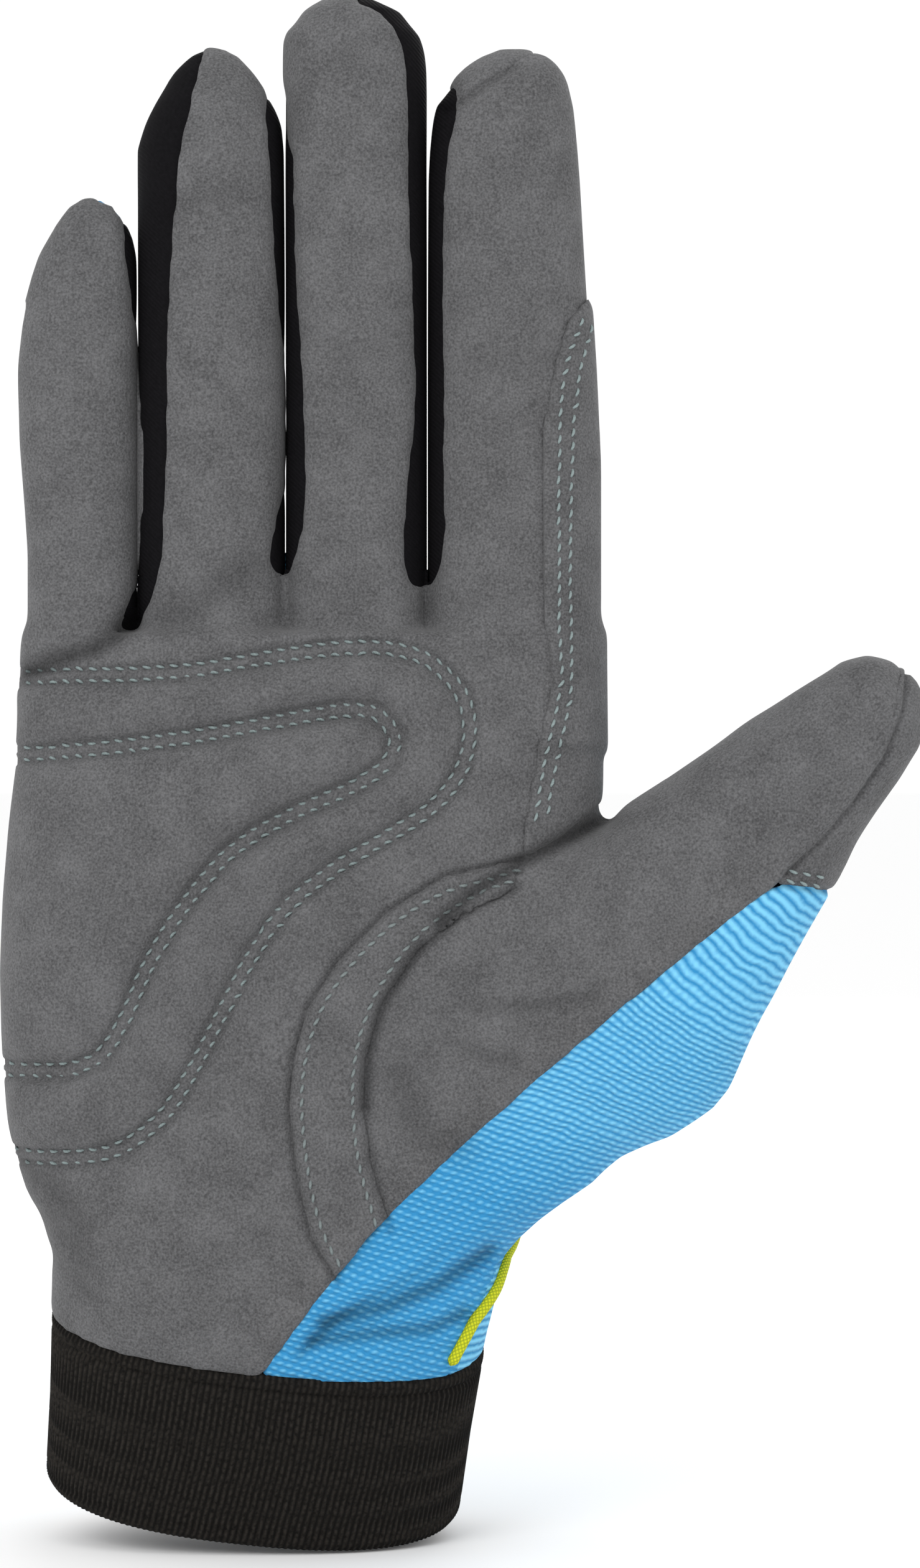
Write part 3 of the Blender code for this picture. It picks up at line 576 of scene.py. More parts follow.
class Field:
    """A distance field on a window of the grid, in millimetres, less than 0 inside."""

    def __init__(self, values, part):
        self.values = values
        self.part = part

    def within(self, low, high):
        part = window(low, high)
        part = tuple(slice(max(a.start, b.start), min(a.stop, b.stop)) for a, b in zip(part, self.part))
        inner = tuple(slice(a.start - b.start, a.stop - b.start) for a, b in zip(part, self.part))
        return Field(self.values[inner], part)

    def grid(self):
        """x, y and z of the window, shaped to broadcast."""
        x, y, z = (AXES[i][self.part[i]] for i in range(3))
        return x[:, None, None], y[None, :, None], z[None, None, :]

    def at(self, points):
        """The field between its grid points."""
        low = np.array([AXES[i][self.part[i]][0] for i in range(3)])
        place = (points - low) / PITCH
        cell = np.clip(np.floor(place).astype(int), 0, np.array(self.values.shape) - 2)
        share = np.clip(place - cell, 0.0, 1.0)
        value = np.zeros(len(points))
        for corner in np.ndindex(2, 2, 2):
            weight = np.prod(np.where(corner, share, 1 - share), axis=1)
            value += weight * self.values[tuple((cell + corner).T)]
        return value

    def outward(self, points):
        """The direction out of the cloth."""
        moves = np.eye(3) * SLOPE_REACH
        slope = np.stack([self.at(points + m) - self.at(points - m) for m in moves], axis=1)
        return slope / np.maximum(np.linalg.norm(slope, axis=1, keepdims=True), TINY)

    def drawn_to(self, points, level):
        """The points moved straight on to one level of the field."""
        for _ in range(6):
            points = points - (self.at(points) - level)[:, None] * self.outward(points)
        return points

    def in_front(self, flat, level):
        """Where each (x, z) first meets a level of the field, seen from the palm; nan where it doesn't."""
        depths = np.arange(AXES[1][self.part[1]][0], 10.0, 0.5)
        points = np.stack([np.repeat(flat[:, 0], len(depths)), np.tile(depths, len(flat)),
                           np.repeat(flat[:, 1], len(depths))], axis=1)
        inside = (self.at(points) < level).reshape(len(flat), len(depths))
        met = inside.any(axis=1)
        y = np.where(met, depths[inside.argmax(axis=1)], np.nan)
        return np.column_stack([flat[:, 0], y, flat[:, 1]])


def smooth_min(a, b, reach):
    mix = np.clip(0.5 + 0.5 * (b - a) / reach, 0.0, 1.0)
    return b + (a - b) * mix - reach * mix * (1 - mix)


def smooth_max(a, b, reach):
    return -smooth_min(-a, -b, reach)


def step(value, low, high):
    share = np.clip((value - low) / (high - low), 0.0, 1.0)
    return share * share * (3 - 2 * share)


def swept(rows, x, y, z):
    """Roughly the distance to a superellipse swept through the rows, with a round end above the last."""
    left, right, front, back = (np.interp(z, rows[:, 0], rows[:, i]) for i in (1, 2, 3, 4))
    across = np.abs(x - (left + right) / 2)
    deep = np.abs(y - (front + back) / 2)
    size = (across / ((right - left) / 2)) ** ROUNDNESS + (deep / ((back - front) / 2)) ** ROUNDNESS
    size = np.maximum(size, TINY) ** (1 / ROUNDNESS)
    distance = np.hypot(across, deep) * (1 - 1 / size)
    beyond = np.maximum(z - rows[-1, 0], 0.0)
    return np.where(beyond > 0, np.hypot(np.maximum(distance, 0.0), beyond), distance)


def evened(values):
    """The field divided by its slope, so that it reads as millimetres near the surface."""
    slope = np.sqrt(sum(g * g for g in np.gradient(values, PITCH)))
    return (values / np.clip(slope, 0.5, 3.0)).astype(np.float32)


def outline_distance(points, x, z, closed=True):
    """Distance in the (x, z) plane to an outline, less than 0 inside a closed one."""
    points = np.array(points, float)
    ends = np.vstack([points, points[:1]]) if closed else points
    best = np.full(np.broadcast(x, z).shape, FAR)
    inside = np.zeros(best.shape, bool)
    for (ax, az), (bx, bz) in zip(ends[:-1], ends[1:]):
        along = (x - ax) * (bx - ax) + (z - az) * (bz - az)
        share = np.clip(along / ((bx - ax) ** 2 + (bz - az) ** 2), 0, 1)
        best = np.minimum(best, np.hypot(x - ax - share * (bx - ax), z - az - share * (bz - az)))
        if closed and az != bz:
            crossed = ((az > z) != (bz > z)) & (x < (bx - ax) * (z - az) / (bz - az) + ax)
            inside ^= crossed
    return np.where(inside, -best, best)


# The shape of the filled glove


def waves(pair, x, y, z):
    """Two sine waves multiplied."""
    one, other = (np.sin(a * x + b * y + c * z + shift) for a, b, c, shift in pair)
    return one * other


def wobble(x, y, z):
    """Slow unevenness of cloth over a hand, in millimetres."""
    return sum(height * waves(pair, x, y, z) for height, pair in WOBBLES)


def fold_depth(x, z):
    made = 0.0
    for points, depth, width in FOLDS:
        away = outline_distance(points, x, z, closed=False)
        made = made + depth * np.exp(-((away / width) ** 2))
    return made


def pad_height(x, z):
    """The foam's puff between the heel's stitched seams, and the channels where they pull it in."""
    outer = outline_distance(OUTER_PAD, x, z)
    inner = outline_distance(INNER_PAD, x, z)
    height = PAD_PUFF * step(-outer, *PUFF_EDGE) * step(np.abs(inner), *PUFF_INNER)
    pucker = PUCKER * waves(PUCKER_WAVES, x, 0.0, z)
    for away in (np.abs(outer), np.abs(inner)):
        height -= PAD_CHANNEL * np.exp(-((away / CHANNEL_WIDTH) ** 2))
        height += pucker * np.exp(-(((away - PUCKER_AWAY) / PUCKER_WIDTH) ** 2))
    return height


def carved(values, part):
    """The field with its folds, its padding and its unevenness."""
    x, y, z = Field(values, part).grid()
    folds = fold_depth(x, z) * (1 - step(y, *FOLD_FADE))
    pads = pad_height(x, z) * (1 - step(y, *PAD_FADE))
    return values + folds - pads - wobble(x, y, z) * step(np.abs(y - SILHOUETTE_Y), *SILHOUETTE_FADE)


def crown_height(x):
    """How high the hand reaches between the fingers."""
    return np.interp(x, *zip(*CROWN))


def build_fields():
    """The field of the whole hand, and of each finger with the palm but without its neighbours."""
    everything = Field(np.zeros(GRID_SIZE), WHOLE)
    x, y, z = everything.grid()
    points = np.stack(np.broadcast_arrays(x, y, z), axis=-1).reshape(-1, 3)
    at_cuff = CUFF.local(points)
    wrist = cuff_rows("cuff_outer_layer")[-1:]
    wrist = np.vstack([wrist, wrist + np.array([FAR, 0, 0, 0, 0])])
    wrist = swept(wrist, at_cuff[:, 0], at_cuff[:, 1], at_cuff[:, 2]).reshape(GRID_SIZE)
    above = step(at_cuff[:, 2], CUFF_TOP, CUFF_TOP + CUFF_BLEND).reshape(GRID_SIZE)
    palm = swept(palm_rows(), x, y, z)
    crown_blend = CROWN_BLEND + BACK_CROWN_BLEND * step(y, *BACK_FADE)
    palm = smooth_max(wrist * (1 - above) + palm * above, z - crown_height(x) + 0 * y, crown_blend)
    local = THUMB.local(points)
    thumb = swept(thumb_rows(), local[:, 0], local[:, 1], local[:, 2])
    thumb = np.maximum(thumb, BALL_FOOT[0][0] - local[:, 2]).reshape(GRID_SIZE)
    hand = smooth_min(palm, thumb, THUMB_BLEND)
    whole = hand.copy()
    fingers = {}
    for finger in FINGERS:
        rows = finger_rows(finger)
        low = rows[:, 1].min() - FINGER_MARGIN, FINGER_FRONT_Y, FINGER_LOW_Z
        high = rows[:, 2].max() + FINGER_MARGIN, FINGER_BACK_Y, FINGER_TOP_Z
        part = window(low, high)
        fx, fy, fz = Field(None, part).grid()
        own = np.maximum(swept(rows, fx, fy, fz), FINGER_STUMP_Z - fz)
        blend = FINGER_BLEND + BACK_FINGER_BLEND * step(fy, *BACK_FADE)
        joined = smooth_min(own, hand[part], blend)
        whole[part] = np.minimum(whole[part], joined)
        fingers[finger] = Field(evened(carved(joined, part)), part)
    return Field(evened(carved(whole, WHOLE)), WHOLE), fingers


# Surfaces


def surface_net(field):
    """The zero surface of a field as (points, quads), one point in each cell that it crosses."""
    values = field.values
    inside = values < 0
    corners = list(np.ndindex(2, 2, 2))
    cells = tuple(n - 1 for n in values.shape)

    def at(array, corner):
        return array[tuple(slice(c, c + n) for c, n in zip(corner, cells))]

    count = sum(at(inside, corner).astype(np.int8) for corner in corners)
    active = (count > 0) & (count < 8)
    index = np.full(cells, -1)
    index[active] = np.arange(int(active.sum()))
    cell = np.argwhere(active)
    ends = np.stack([at(values, corner)[active] for corner in corners], axis=1).astype(float)
    total = np.zeros((len(cell), 3))
    crossings = np.zeros(len(cell))
    for a, b in ((a, b) for a in range(8) for b in range(a + 1, 8)):
        along = np.array(corners[b]) - np.array(corners[a])
        if np.abs(along).sum() != 1:
            continue
        va, vb = ends[:, a], ends[:, b]
        crossed = (va < 0) != (vb < 0)
        share = np.where(crossed, va / np.where(crossed, va - vb, 1.0), 0.0)
        total += (np.array(corners[a]) + share[:, None] * along) * crossed[:, None]
        crossings += crossed
    low = np.array([AXES[i][field.part[i]][0] for i in range(3)])
    points = low + (cell + total / crossings[:, None]) * PITCH
    quads = []
    for axis in range(3):
        others = [i for i in range(3) if i != axis]
        start = [slice(1, n - 1) for n in values.shape]
        start[axis] = slice(0, values.shape[axis] - 1)
        end = list(start)
        end[axis] = slice(1, values.shape[axis])
        a, b = inside[tuple(start)], inside[tuple(end)]
        for leaving in (False, True):
            found = np.argwhere((a != b) & (a == leaving))
            found += [0 if i == axis else 1 for i in range(3)]
            ring = []
            for u, v in ((1, 1), (0, 1), (0, 0), (1, 0)):
                shifted = found.copy()
                shifted[:, others[0]] -= u
                shifted[:, others[1]] -= v
                ring.append(index[tuple(shifted.T)])
            quad = np.stack(ring, axis=1)
            quads.append(quad if leaving == (axis != 1) else quad[:, ::-1])
    return points, np.concatenate(quads)


def layer(field, top, depth):
    """The cloth between `top` above the field's surface and `depth` below it, with round edges."""
    return smooth_max(field.values - top, -(field.values + depth), LAYER_ROLL)


def bounded(cloth, *limits, roll=EDGE_ROLL):
    """The cloth cut back to where each limit is below 0, with a rolled edge."""
    for limit in limits:
        cloth = smooth_max(cloth, limit, roll)
    return cloth


def only(points, quads, keep):
    """The quads whose centres `keep` accepts, with the points they use."""
    quads = quads[keep(points[quads].mean(axis=1))]
    used, renumbered = np.unique(quads, return_inverse=True)
    return points[used], renumbered.reshape(quads.shape)


def mesh_object(name, points, faces, material=None):
    mesh = bpy.data.meshes.new(name)
    mesh.from_pydata((np.asarray(points) * MM).tolist(), [], np.asarray(faces).tolist())
    mesh.polygons.foreach_set("use_smooth", [True] * len(mesh.polygons))
    mesh.materials.append(material)
    made = bpy.data.objects.new(name, mesh)
    bpy.context.scene.collection.objects.link(made)
    return made


def discard(made):
    mesh = made.data
    bpy.data.objects.remove(made)
    bpy.data.meshes.remove(mesh)


def refined(points, quads):
    """The mesh after one round of subdivision."""
    rough = mesh_object("rough", points, quads)
    rough.modifiers.new("finer", "SUBSURF").levels = 1
    found = rough.evaluated_get(bpy.context.evaluated_depsgraph_get())
    mesh = found.to_mesh()
    fine = np.empty(len(mesh.vertices) * 3)
    mesh.vertices.foreach_get("co", fine)
    faces = np.empty(len(mesh.loops), int)
    mesh.loops.foreach_get("vertex_index", faces)
    found.to_mesh_clear()
    discard(rough)
    return fine.reshape(-1, 3) / MM, faces.reshape(-1, 4)


def relief(points):
    """The fine channels under the stitch rows, as a depth at each point."""
    x, z = points[:, 0], points[:, 2]
    depth = np.zeros(len(points))
    for outline, gap in DOUBLE_ROWS:
        away = np.abs(outline_distance(outline, x, z, closed=False))
        depth += ROW_DEPTH * np.exp(-(((away - gap / 2) / ROW_WIDTH) ** 2))
    for outline, width in SINGLE_GROOVES:
        away = outline_distance(outline, x, z, closed=False)
        depth += GROOVE_DEPTH * np.exp(-((away / width) ** 2))
    return depth * (points[:, 1] < PALM_FRONT_Y)


def painted_fold_shade_depths(points):
    """How deep each point lies in a fold or a stitched channel of the palm side, for the painted shade that
    darkens the cloth there.
    """
    folds = np.maximum(fold_depth(points[:, 0], points[:, 2]), 0.0) * (points[:, 1] < PALM_FRONT_Y)
    return folds + relief(points)


def cloth_mesh(field, cloth, top):
    """The surface of one layer of cloth, subdivided, with its fine relief."""
    points, quads = surface_net(Field(cloth, field.part))
    points, quads = refined(points, quads)
    outer = step(field.at(points), top - 1.0, top - 0.4)
    points = points - (relief(points) * outer)[:, None] * field.outward(points)
    corners = points[quads]
    normal = np.cross(corners[:, 2] - corners[:, 0], corners[:, 3] - corners[:, 1])
    if np.sum(normal * corners.mean(axis=1)) < 0:
        quads = quads[:, ::-1]
    return points, quads


# Which body each stretch of cloth is cut for


def bends():
    """For each moving body: its parent, and the two points at the ends of its zone on the cloth."""
    made = {}
    for finger, (start, end, tip_start, tip_end) in FINGER_ZONES.items():
        x, y = in_mm(JOINTS[f"{finger}_knuckle"]["pos_m"])[:2]
        made[f"{finger}_base"] = ("hand", (x, y, start), (x, y, end))
        made[f"{finger}_tip"] = (f"{finger}_base", (x, y, tip_start), (x, y, tip_end))
    start, end, tip_start, tip_end = (THUMB.world((0, 0, h)) for h in THUMB_ZONE)
    made["thumb_base"] = ("hand", start, end)
    made["thumb_tip"] = ("thumb_base", tip_start, tip_end)
    return made


BENDS = bends()


def attach(piece, body):
    if body == "hand":
        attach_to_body(piece, body)
        return
    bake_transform(piece)


def finger_start(x):
    """Where cloth starts to follow the finger above this x."""
    starts = [FINGER_ZONES[finger][0] for finger in FINGERS]
    return np.array(starts)[np.searchsorted(SLITS, x)]


def middle_of(zone):
    return (zone[1] + zone[2]) / 2


def on_thumb(points):
    local = THUMB.local(points)
    return (local[:, 2] > THUMB_ZONE[0]) & (local[:, 0] > THUMB_WEB_X)


def in_hand(points):
    return (points[:, 2] < finger_start(points[:, 0])) & ~on_thumb(points)


def between_fingers(points):
    """The bottom of each gap between two fingers, a little above where the fingers start to bend."""
    away = np.abs(points[:, :1] - np.array(SLITS)).min(axis=1)
    rise = points[:, 2] - finger_start(points[:, 0])
    return (away < CROTCH_HALF_WIDTH) & (np.abs(rise) < CROTCH_RISE) & (points[:, 1] > BACK_SEAM_Y - 1.0)


def anywhere(points):
    return np.ones(len(points), bool)


def in_thumb_base(points):
    return on_thumb(points) & (THUMB.local(points)[:, 2] < middle_of(THUMB_ZONE))


def in_thumb_tip(points):
    return on_thumb(points) & (THUMB.local(points)[:, 2] >= middle_of(THUMB_ZONE))


def in_finger_base(finger):
    zone = FINGER_ZONES[finger]
    return lambda p: (p[:, 2] >= zone[0]) & (p[:, 2] < middle_of(zone))


def in_finger_tip(finger):
    return lambda p: p[:, 2] >= middle_of(FINGER_ZONES[finger])


# Materials


class Shader:
    """A procedural material. Its patterns run on the `cloth` attribute, which holds millimetres of cloth.

    A second attribute gives how deep in a fold the place is, for painted shade there.
    """

    def __init__(self, name, roughness, sheen=0.0, shine=0.2):
        self.material = bpy.data.materials.new(name)
        self.material.use_nodes = True
        self.tree = self.material.node_tree
        self.surface = self.tree.nodes["Principled BSDF"]
        self.surface.inputs["Roughness"].default_value = roughness
        self.surface.inputs["Specular IOR Level"].default_value = shine
        self.surface.inputs["Sheen Weight"].default_value = sheen
        self.cloth = self.node("ShaderNodeAttribute", {}, "Vector", attribute_name="cloth")
        apart = self.node("ShaderNodeSeparateXYZ", {0: self.cloth}, None)
        self.u, self.v, self.w = apart.outputs

    def node(self, kind, inputs, output, **settings):
        """Adds a node; returns the named output, or the node itself when that is None."""
        made = self.tree.nodes.new(kind)
        for name, value in settings.items():
            setattr(made, name, value)
        for name, value in inputs.items():
            if isinstance(value, bpy.types.NodeSocket):
                self.tree.links.new(value, made.inputs[name])
            else:
                made.inputs[name].default_value = value
        return made if output is None else made.outputs[output]

    def math(self, operation, a, b=0.0):
        return self.node("ShaderNodeMath", {0: a, 1: b}, 0, operation=operation)

    def wave(self, along, pitch, shift=0.0):
        """0 in the grooves and 1 on the crests of a wave of one pitch."""
        turned = self.math("MULTIPLY_ADD", along, 2 * math.pi / pitch)
        turned.node.inputs[2].default_value = shift
        return self.node("ShaderNodeMapRange", {0: self.math("COSINE", turned), 1: -1.0, 2: 1.0}, 0)

    def noise(self, size, detail=3.0):
        return self.node("ShaderNodeTexNoise", {"Vector": self.cloth, "Scale": 1 / size, "Detail": detail}, 0)

    def ramp(self, value, low, high):
        return self.node("ShaderNodeMapRange", {0: value, 1: low, 2: high}, 0)

    def mix(self, share, a, b):
        return self.node("ShaderNodeMix", {0: share, 6: a, 7: b}, 2, data_type="RGBA")

    def colour(self, value):
        """Sets the cloth's colour, with painted shade darkening it down in its folds and stitched channels."""
        painted_fold_shade = self.node("ShaderNodeAttribute", {}, "Fac", attribute_name="painted_fold_shade")
        share = self.math("MULTIPLY", self.ramp(painted_fold_shade, 0.0, HOLLOW_DEPTH), HOLLOW_SHADE)
        shaded = self.node("ShaderNodeMix", {0: share, 6: value, 7: (0.0, 0.0, 0.0, 1)}, 2, data_type="RGBA")
        self.tree.links.new(shaded, self.surface.inputs["Base Color"])

    def bump(self, height, depth):
        """Raises the surface by up to `depth` millimetres."""
        made = self.node("ShaderNodeBump", {"Height": height, "Distance": depth * MM}, "Normal")
        self.tree.links.new(made, self.surface.inputs["Normal"])


def suede():
    made = Shader("grey_suede", 0.95, 0.1)
    fine = made.noise(0.36, 4.0)
    broad = made.noise(7.0)
    nap = made.math("ADD", made.math("MULTIPLY", fine, 0.85), made.math("MULTIPLY", broad, 0.3))
    made.colour(made.mix(made.ramp(nap, 0.40, 0.75), *SUEDE_COLOURS))
    made.bump(made.noise(0.4, 4.0), 0.2)
    return made.material


def waffle_knit():
    """Ribs across the cloth. Down the thumb's side, short cells break them up into a waffle."""
    made = Shader("blue_knit", 0.85, 0.05)
    uneven = made.math("MULTIPLY", made.math("SUBTRACT", made.noise(5.0), 0.5), 1.4)
    v = made.math("ADD", made.v, uneven)
    ribs = made.wave(v, KNIT_RIB)
    cells = made.wave(made.u, KNIT_CELL)
    crossed = made.math("MULTIPLY", made.ramp(made.v, *WAFFLE_HEIGHTS), 0.5)
    flat = made.math("SUBTRACT", 1.0, crossed)
    cells = made.math("ADD", flat, made.math("MULTIPLY", cells, crossed))
    raised = made.math("MULTIPLY", made.math("POWER", ribs, 0.6), cells)
    shade = made.math("ADD", raised, made.math("MULTIPLY", made.math("SUBTRACT", made.noise(0.5), 0.5), 0.5))
    # Painted shade: the knit is darkened towards the wrist.
    low = made.math("MULTIPLY", made.ramp(made.v, *WRIST_HEIGHTS), WRIST_SHADE)
    shade = made.math("SUBTRACT", shade, low)
    made.colour(made.mix(made.ramp(shade, 0.05, 0.95), *KNIT_COLOURS))
    made.bump(raised, 0.32)
    return made.material


def black_stretch():
    made = Shader("black_stretch", 0.9, shine=0.1)
    made.colour(made.mix(made.noise(0.6), *STRETCH_COLOURS))
    made.bump(made.wave(made.math("ADD", made.u, made.w), 0.7), 0.08)
    return made.material


def black_elastic():
    made = Shader("black_elastic", 0.85, shine=0.1)
    rib = made.wave(made.u, 1.0)
    broken = made.math("MULTIPLY", rib, made.ramp(made.noise(0.7), 0.3, 0.6))
    made.colour(made.mix(broken, *ELASTIC_COLOURS))
    made.bump(made.noise(0.4), 0.15)
    return made.material


def piping_braid():
    made = Shader("yellow_piping", 0.7)
    braid = made.math("MULTIPLY", made.wave(made.math("ADD", made.u, made.v), 0.8),
                      made.wave(made.math("SUBTRACT", made.u, made.v), 0.8))
    made.colour(made.mix(made.math("POWER", braid, 0.4), *PIPING_COLOURS))
    made.bump(braid, 0.15)
    return made.material


def thread(name, colours):
    made = Shader(name, 0.7)
    made.colour(made.mix(made.noise(0.8), *colours))
    made.bump(made.wave(made.math("ADD", made.u, made.v), 0.4), 0.05)
    return made.material


def plain(name, colour, roughness):
    made = Shader(name, roughness)
    made.surface.inputs["Base Color"].default_value = colour
    return made.material


MATERIALS = {
    "grey_suede": suede(),
    "blue_knit": waffle_knit(),
    "black_stretch": black_stretch(),
    "black_elastic": black_elastic(),
    "yellow_piping": piping_braid(),
    "foam": plain("foam", FOAM_COLOUR, 0.95),
}
LIGHT_THREAD = thread("light_thread", LIGHT_THREAD_COLOURS)
DARK_THREAD = thread("dark_thread", DARK_THREAD_COLOURS)


# Pieces


def plain_cloth(points):
    return points


def back_cloth(points):
    """Knit coordinates on the back: the ribs run across the hand and the fingers."""
    return points[:, [0, 2, 1]]


def thumb_cloth(points):
    """Knit coordinates on the thumb's side: the ribs leave the seam square and curve up as they go."""
    local = THUMB.local(points)
    away = local[:, 0] - THUMB_SEAM_X
    early = step(local[:, 2], *RIB_TURN)
    bend = LOWER_RIB_SLOPE * away * early + UPPER_RIB_CURVE * away * np.abs(away) * (1 - early)
    ribs = local[:, 2] - bend
    ribs -= UPPER_RIB_SPREAD * np.maximum(ribs - UPPER_RIBS, 0.0)
    return np.column_stack([away, ribs, points[:, 1]])


def add_piece(name, mesh, slot, body, nodes=(), cloth=plain_cloth, material=None):
    """One piece of cloth: named and coloured. A piece of the hand is parented to the hand's body; any other stays
    where it is made.
    """
    points, faces = mesh
    piece = mesh_object(name, points, faces, material or MATERIALS[slot])
    attribute = piece.data.attributes.new("cloth", "FLOAT_VECTOR", "POINT")
    attribute.data.foreach_set("vector", np.asarray(cloth(points), np.float32).ravel())
    # How deep each point lies in a fold or stitched channel; the colour is darkened by it as painted shade.
    attribute = piece.data.attributes.new("painted_fold_shade", "FLOAT", "POINT")
    attribute.data.foreach_set("value", painted_fold_shade_depths(points).astype(np.float32))
    attach(piece, body)
    if nodes:
        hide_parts(*nodes)
    return piece


def add_parts(mesh, slot, parts, cloth=plain_cloth):
    """Cuts one mesh into pieces, each for one CAD node: (node, body, which quads)."""
    for node, body, keep in parts:
        replaced = (node,) if node in frame["nodes"] else ()
        add_piece(node + "_cloth", only(*mesh, keep), slot, body, replaced, cloth)


def seam_depth(x, z):
    """How deep the seam between the palm side and the back lies. On the thumb it lies nearer the palm."""
    share = step(THUMB.along(2, x, 0.0, z), *THUMB_SEAM_HEIGHTS)
    share = share * step(THUMB.along(0, x, 0.0, z), *THUMB_SEAM_SIDES)
    return BACK_SEAM_Y + (THUMB_SEAM_Y - BACK_SEAM_Y) * share


def knit_limit(x, y, z):
    """Less than 0 where the knit is, more than 0 where the palm side's suede is."""
    return smooth_min(outline_distance(KNIT_SIDE, x, z) + 0 * y, seam_depth(x, z) - y, KNIT_BLEND)


def cap_limit(x, y, z):
    """Less than 0 in the suede cap on the thumb's tip."""
    behind = np.maximum(THUMB_CAP_HEIGHT - THUMB.along(2, x, 0.0, z), THUMB_SEAM_Y - y)
    front = np.maximum(outline_distance(CAP_REGION, x, z), y - THUMB_CAP_BACK_Y)
    return np.minimum(front, behind)


def above_cuff(x, y, z):
    """Less than 0 above the cuff's top edge."""
    return CUFF_TOP - 0.5 - CUFF.along(2, x, y, z)


def slit_limits(x, z):
    """For each gap, less than 0 outside its black band. The suede's cut edge is a little uneven."""
    wave = EDGE_WAVE * np.sin(1.15 * z + 0.8 * x) * np.sin(0.37 * z + 0.5)
    return [wave - outline_distance(band, x, z) for band in SLIT_BANDS]


def build_palm_side(field):
    """The suede of the palm and of the thumb's front, sharply creased where it meets the thumb's cap."""
    x, y, z = field.grid()
    slits = (limit + 0 * y for limit in slit_limits(x, z))
    front = bounded(layer(field, SUEDE_TOP, LAYER_DEPTH), above_cuff(x, y, z), *slits)
    roll = CREASE_ROLL + (EDGE_ROLL - CREASE_ROLL) * step(cap_limit(x, y, z), *CAP_ROLL_FADE)
    front = bounded(front, -knit_limit(x, y, z), roll=roll)
    add_parts(cloth_mesh(field, front, SUEDE_TOP), "grey_suede", (
        ("palm_panel", "hand", in_hand),
        ("thumb_base_front", "thumb_base", in_thumb_base),
        ("thumb_tip_front", "thumb_tip", in_thumb_tip),
    ))


def in_back(points):
    """Whether places in the knit belong to the back panel and not to the thumb's side panel."""
    inside = outline_distance(BACK_ZONE, points[:, 0], points[:, 2]) < 0
    in_front = outline_distance(FRONT_BACK_ZONE, points[:, 0], points[:, 2]) < 0
    return np.where(points[:, 1] > PIPING_SPLIT_Y, inside, in_front)


def build_knit(field):
    """The knit of the back and of the thumb's outer side. It runs under the suede, except at the cap."""
    x, y, z = field.grid()
    cap = cap_limit(x, y, z)
    lap = KNIT_LAP - CAP_KNIT_SHORT * (1 - step(cap, *CAP_KNIT_FADE))
    knit = bounded(layer(field, KNIT_TOP, LAYER_DEPTH), knit_limit(x, y, z) - lap, above_cuff(x, y, z),
                   -cap - KNIT_LAP)
    knit = cloth_mesh(field, knit, KNIT_TOP)
    back = (("back_panel", "hand", lambda p: (in_hand(p) & in_back(p)) | between_fingers(p)),)
    add_parts(knit, "blue_knit", back, back_cloth)
    add_parts(knit, "blue_knit", (
        ("thumb_side_panel", "hand", lambda p: in_hand(p) & ~in_back(p) & ~between_fingers(p)),
        ("thumb_base_back", "thumb_base", in_thumb_base),
        ("thumb_tip_back", "thumb_tip", in_thumb_tip),
    ), thumb_cloth)


def build_thumb_cap(field):
    x, y, z = field.grid()
    cap = bounded(layer(field, LAPPED_TOP, LAYER_DEPTH), cap_limit(x, y, z))
    cap = bounded(cap, knit_limit(x, y, z) - SEAM_LAP, roll=CREASE_ROLL)
    add_parts(cloth_mesh(field, cap, SUEDE_TOP), "grey_suede", (("thumb_tip_cap", "thumb_tip", anywhere),))


def build_thumb_band(field):
    """The curved reinforcement round the root of the thumb."""
    x, y, z = field.grid()
    band = bounded(layer(field, BAND_TOP, OVERLAY_DEPTH), outline_distance(THUMB_BAND, x, z) + 0 * y,
                   y - PALM_FRONT_Y, -knit_limit(x, y, z), roll=CRISP_ROLL)
    add_parts(cloth_mesh(field, band, BAND_TOP), "grey_suede",
              (("thumb_root_reinforcement", "hand", anywhere),))


def build_webs(field):
    """The three black pieces at the bottoms of the gaps between the fingers."""
    for name, middle, band in zip(WEBS, SLITS, SLIT_BANDS):
        own = field.within(*(np.array(corner) + (middle, 0, 0) for corner in WEB_BOX))
        x, y, z = own.grid()
        web = bounded(layer(own, GUSSET_TOP, LAYER_DEPTH), outline_distance(band, x, z) - GUSSET_LAP + 0 * y,
                      y - BACK_SEAM_Y)
        add_parts(cloth_mesh(own, web, GUSSET_TOP), "black_stretch", ((name, "hand", in_hand),))


def finger_seam(x, z):
    """The depth of a finger's back seam. In a few places the knit comes round towards the palm."""
    depth = np.full(np.broadcast(x, z).shape, BACK_SEAM_Y)
    for gx, gz, reach, forward in KNIT_GLIMPSES:
        depth = depth - forward * np.exp(-(((x - gx) ** 2 + (z - gz) ** 2) / reach**2))
    return depth


def add_finger_parts(finger, suffix, mesh, slot, cloth=plain_cloth):
    """One mesh as the finger's base piece and its tip piece."""
    keeps = {f"{finger}_base": in_finger_base(finger), f"{finger}_tip": in_finger_tip(finger)}
    parts = [(f"{body}_{suffix}", body, keep) for body, keep in keeps.items()]
    add_parts(mesh, slot, parts, cloth)


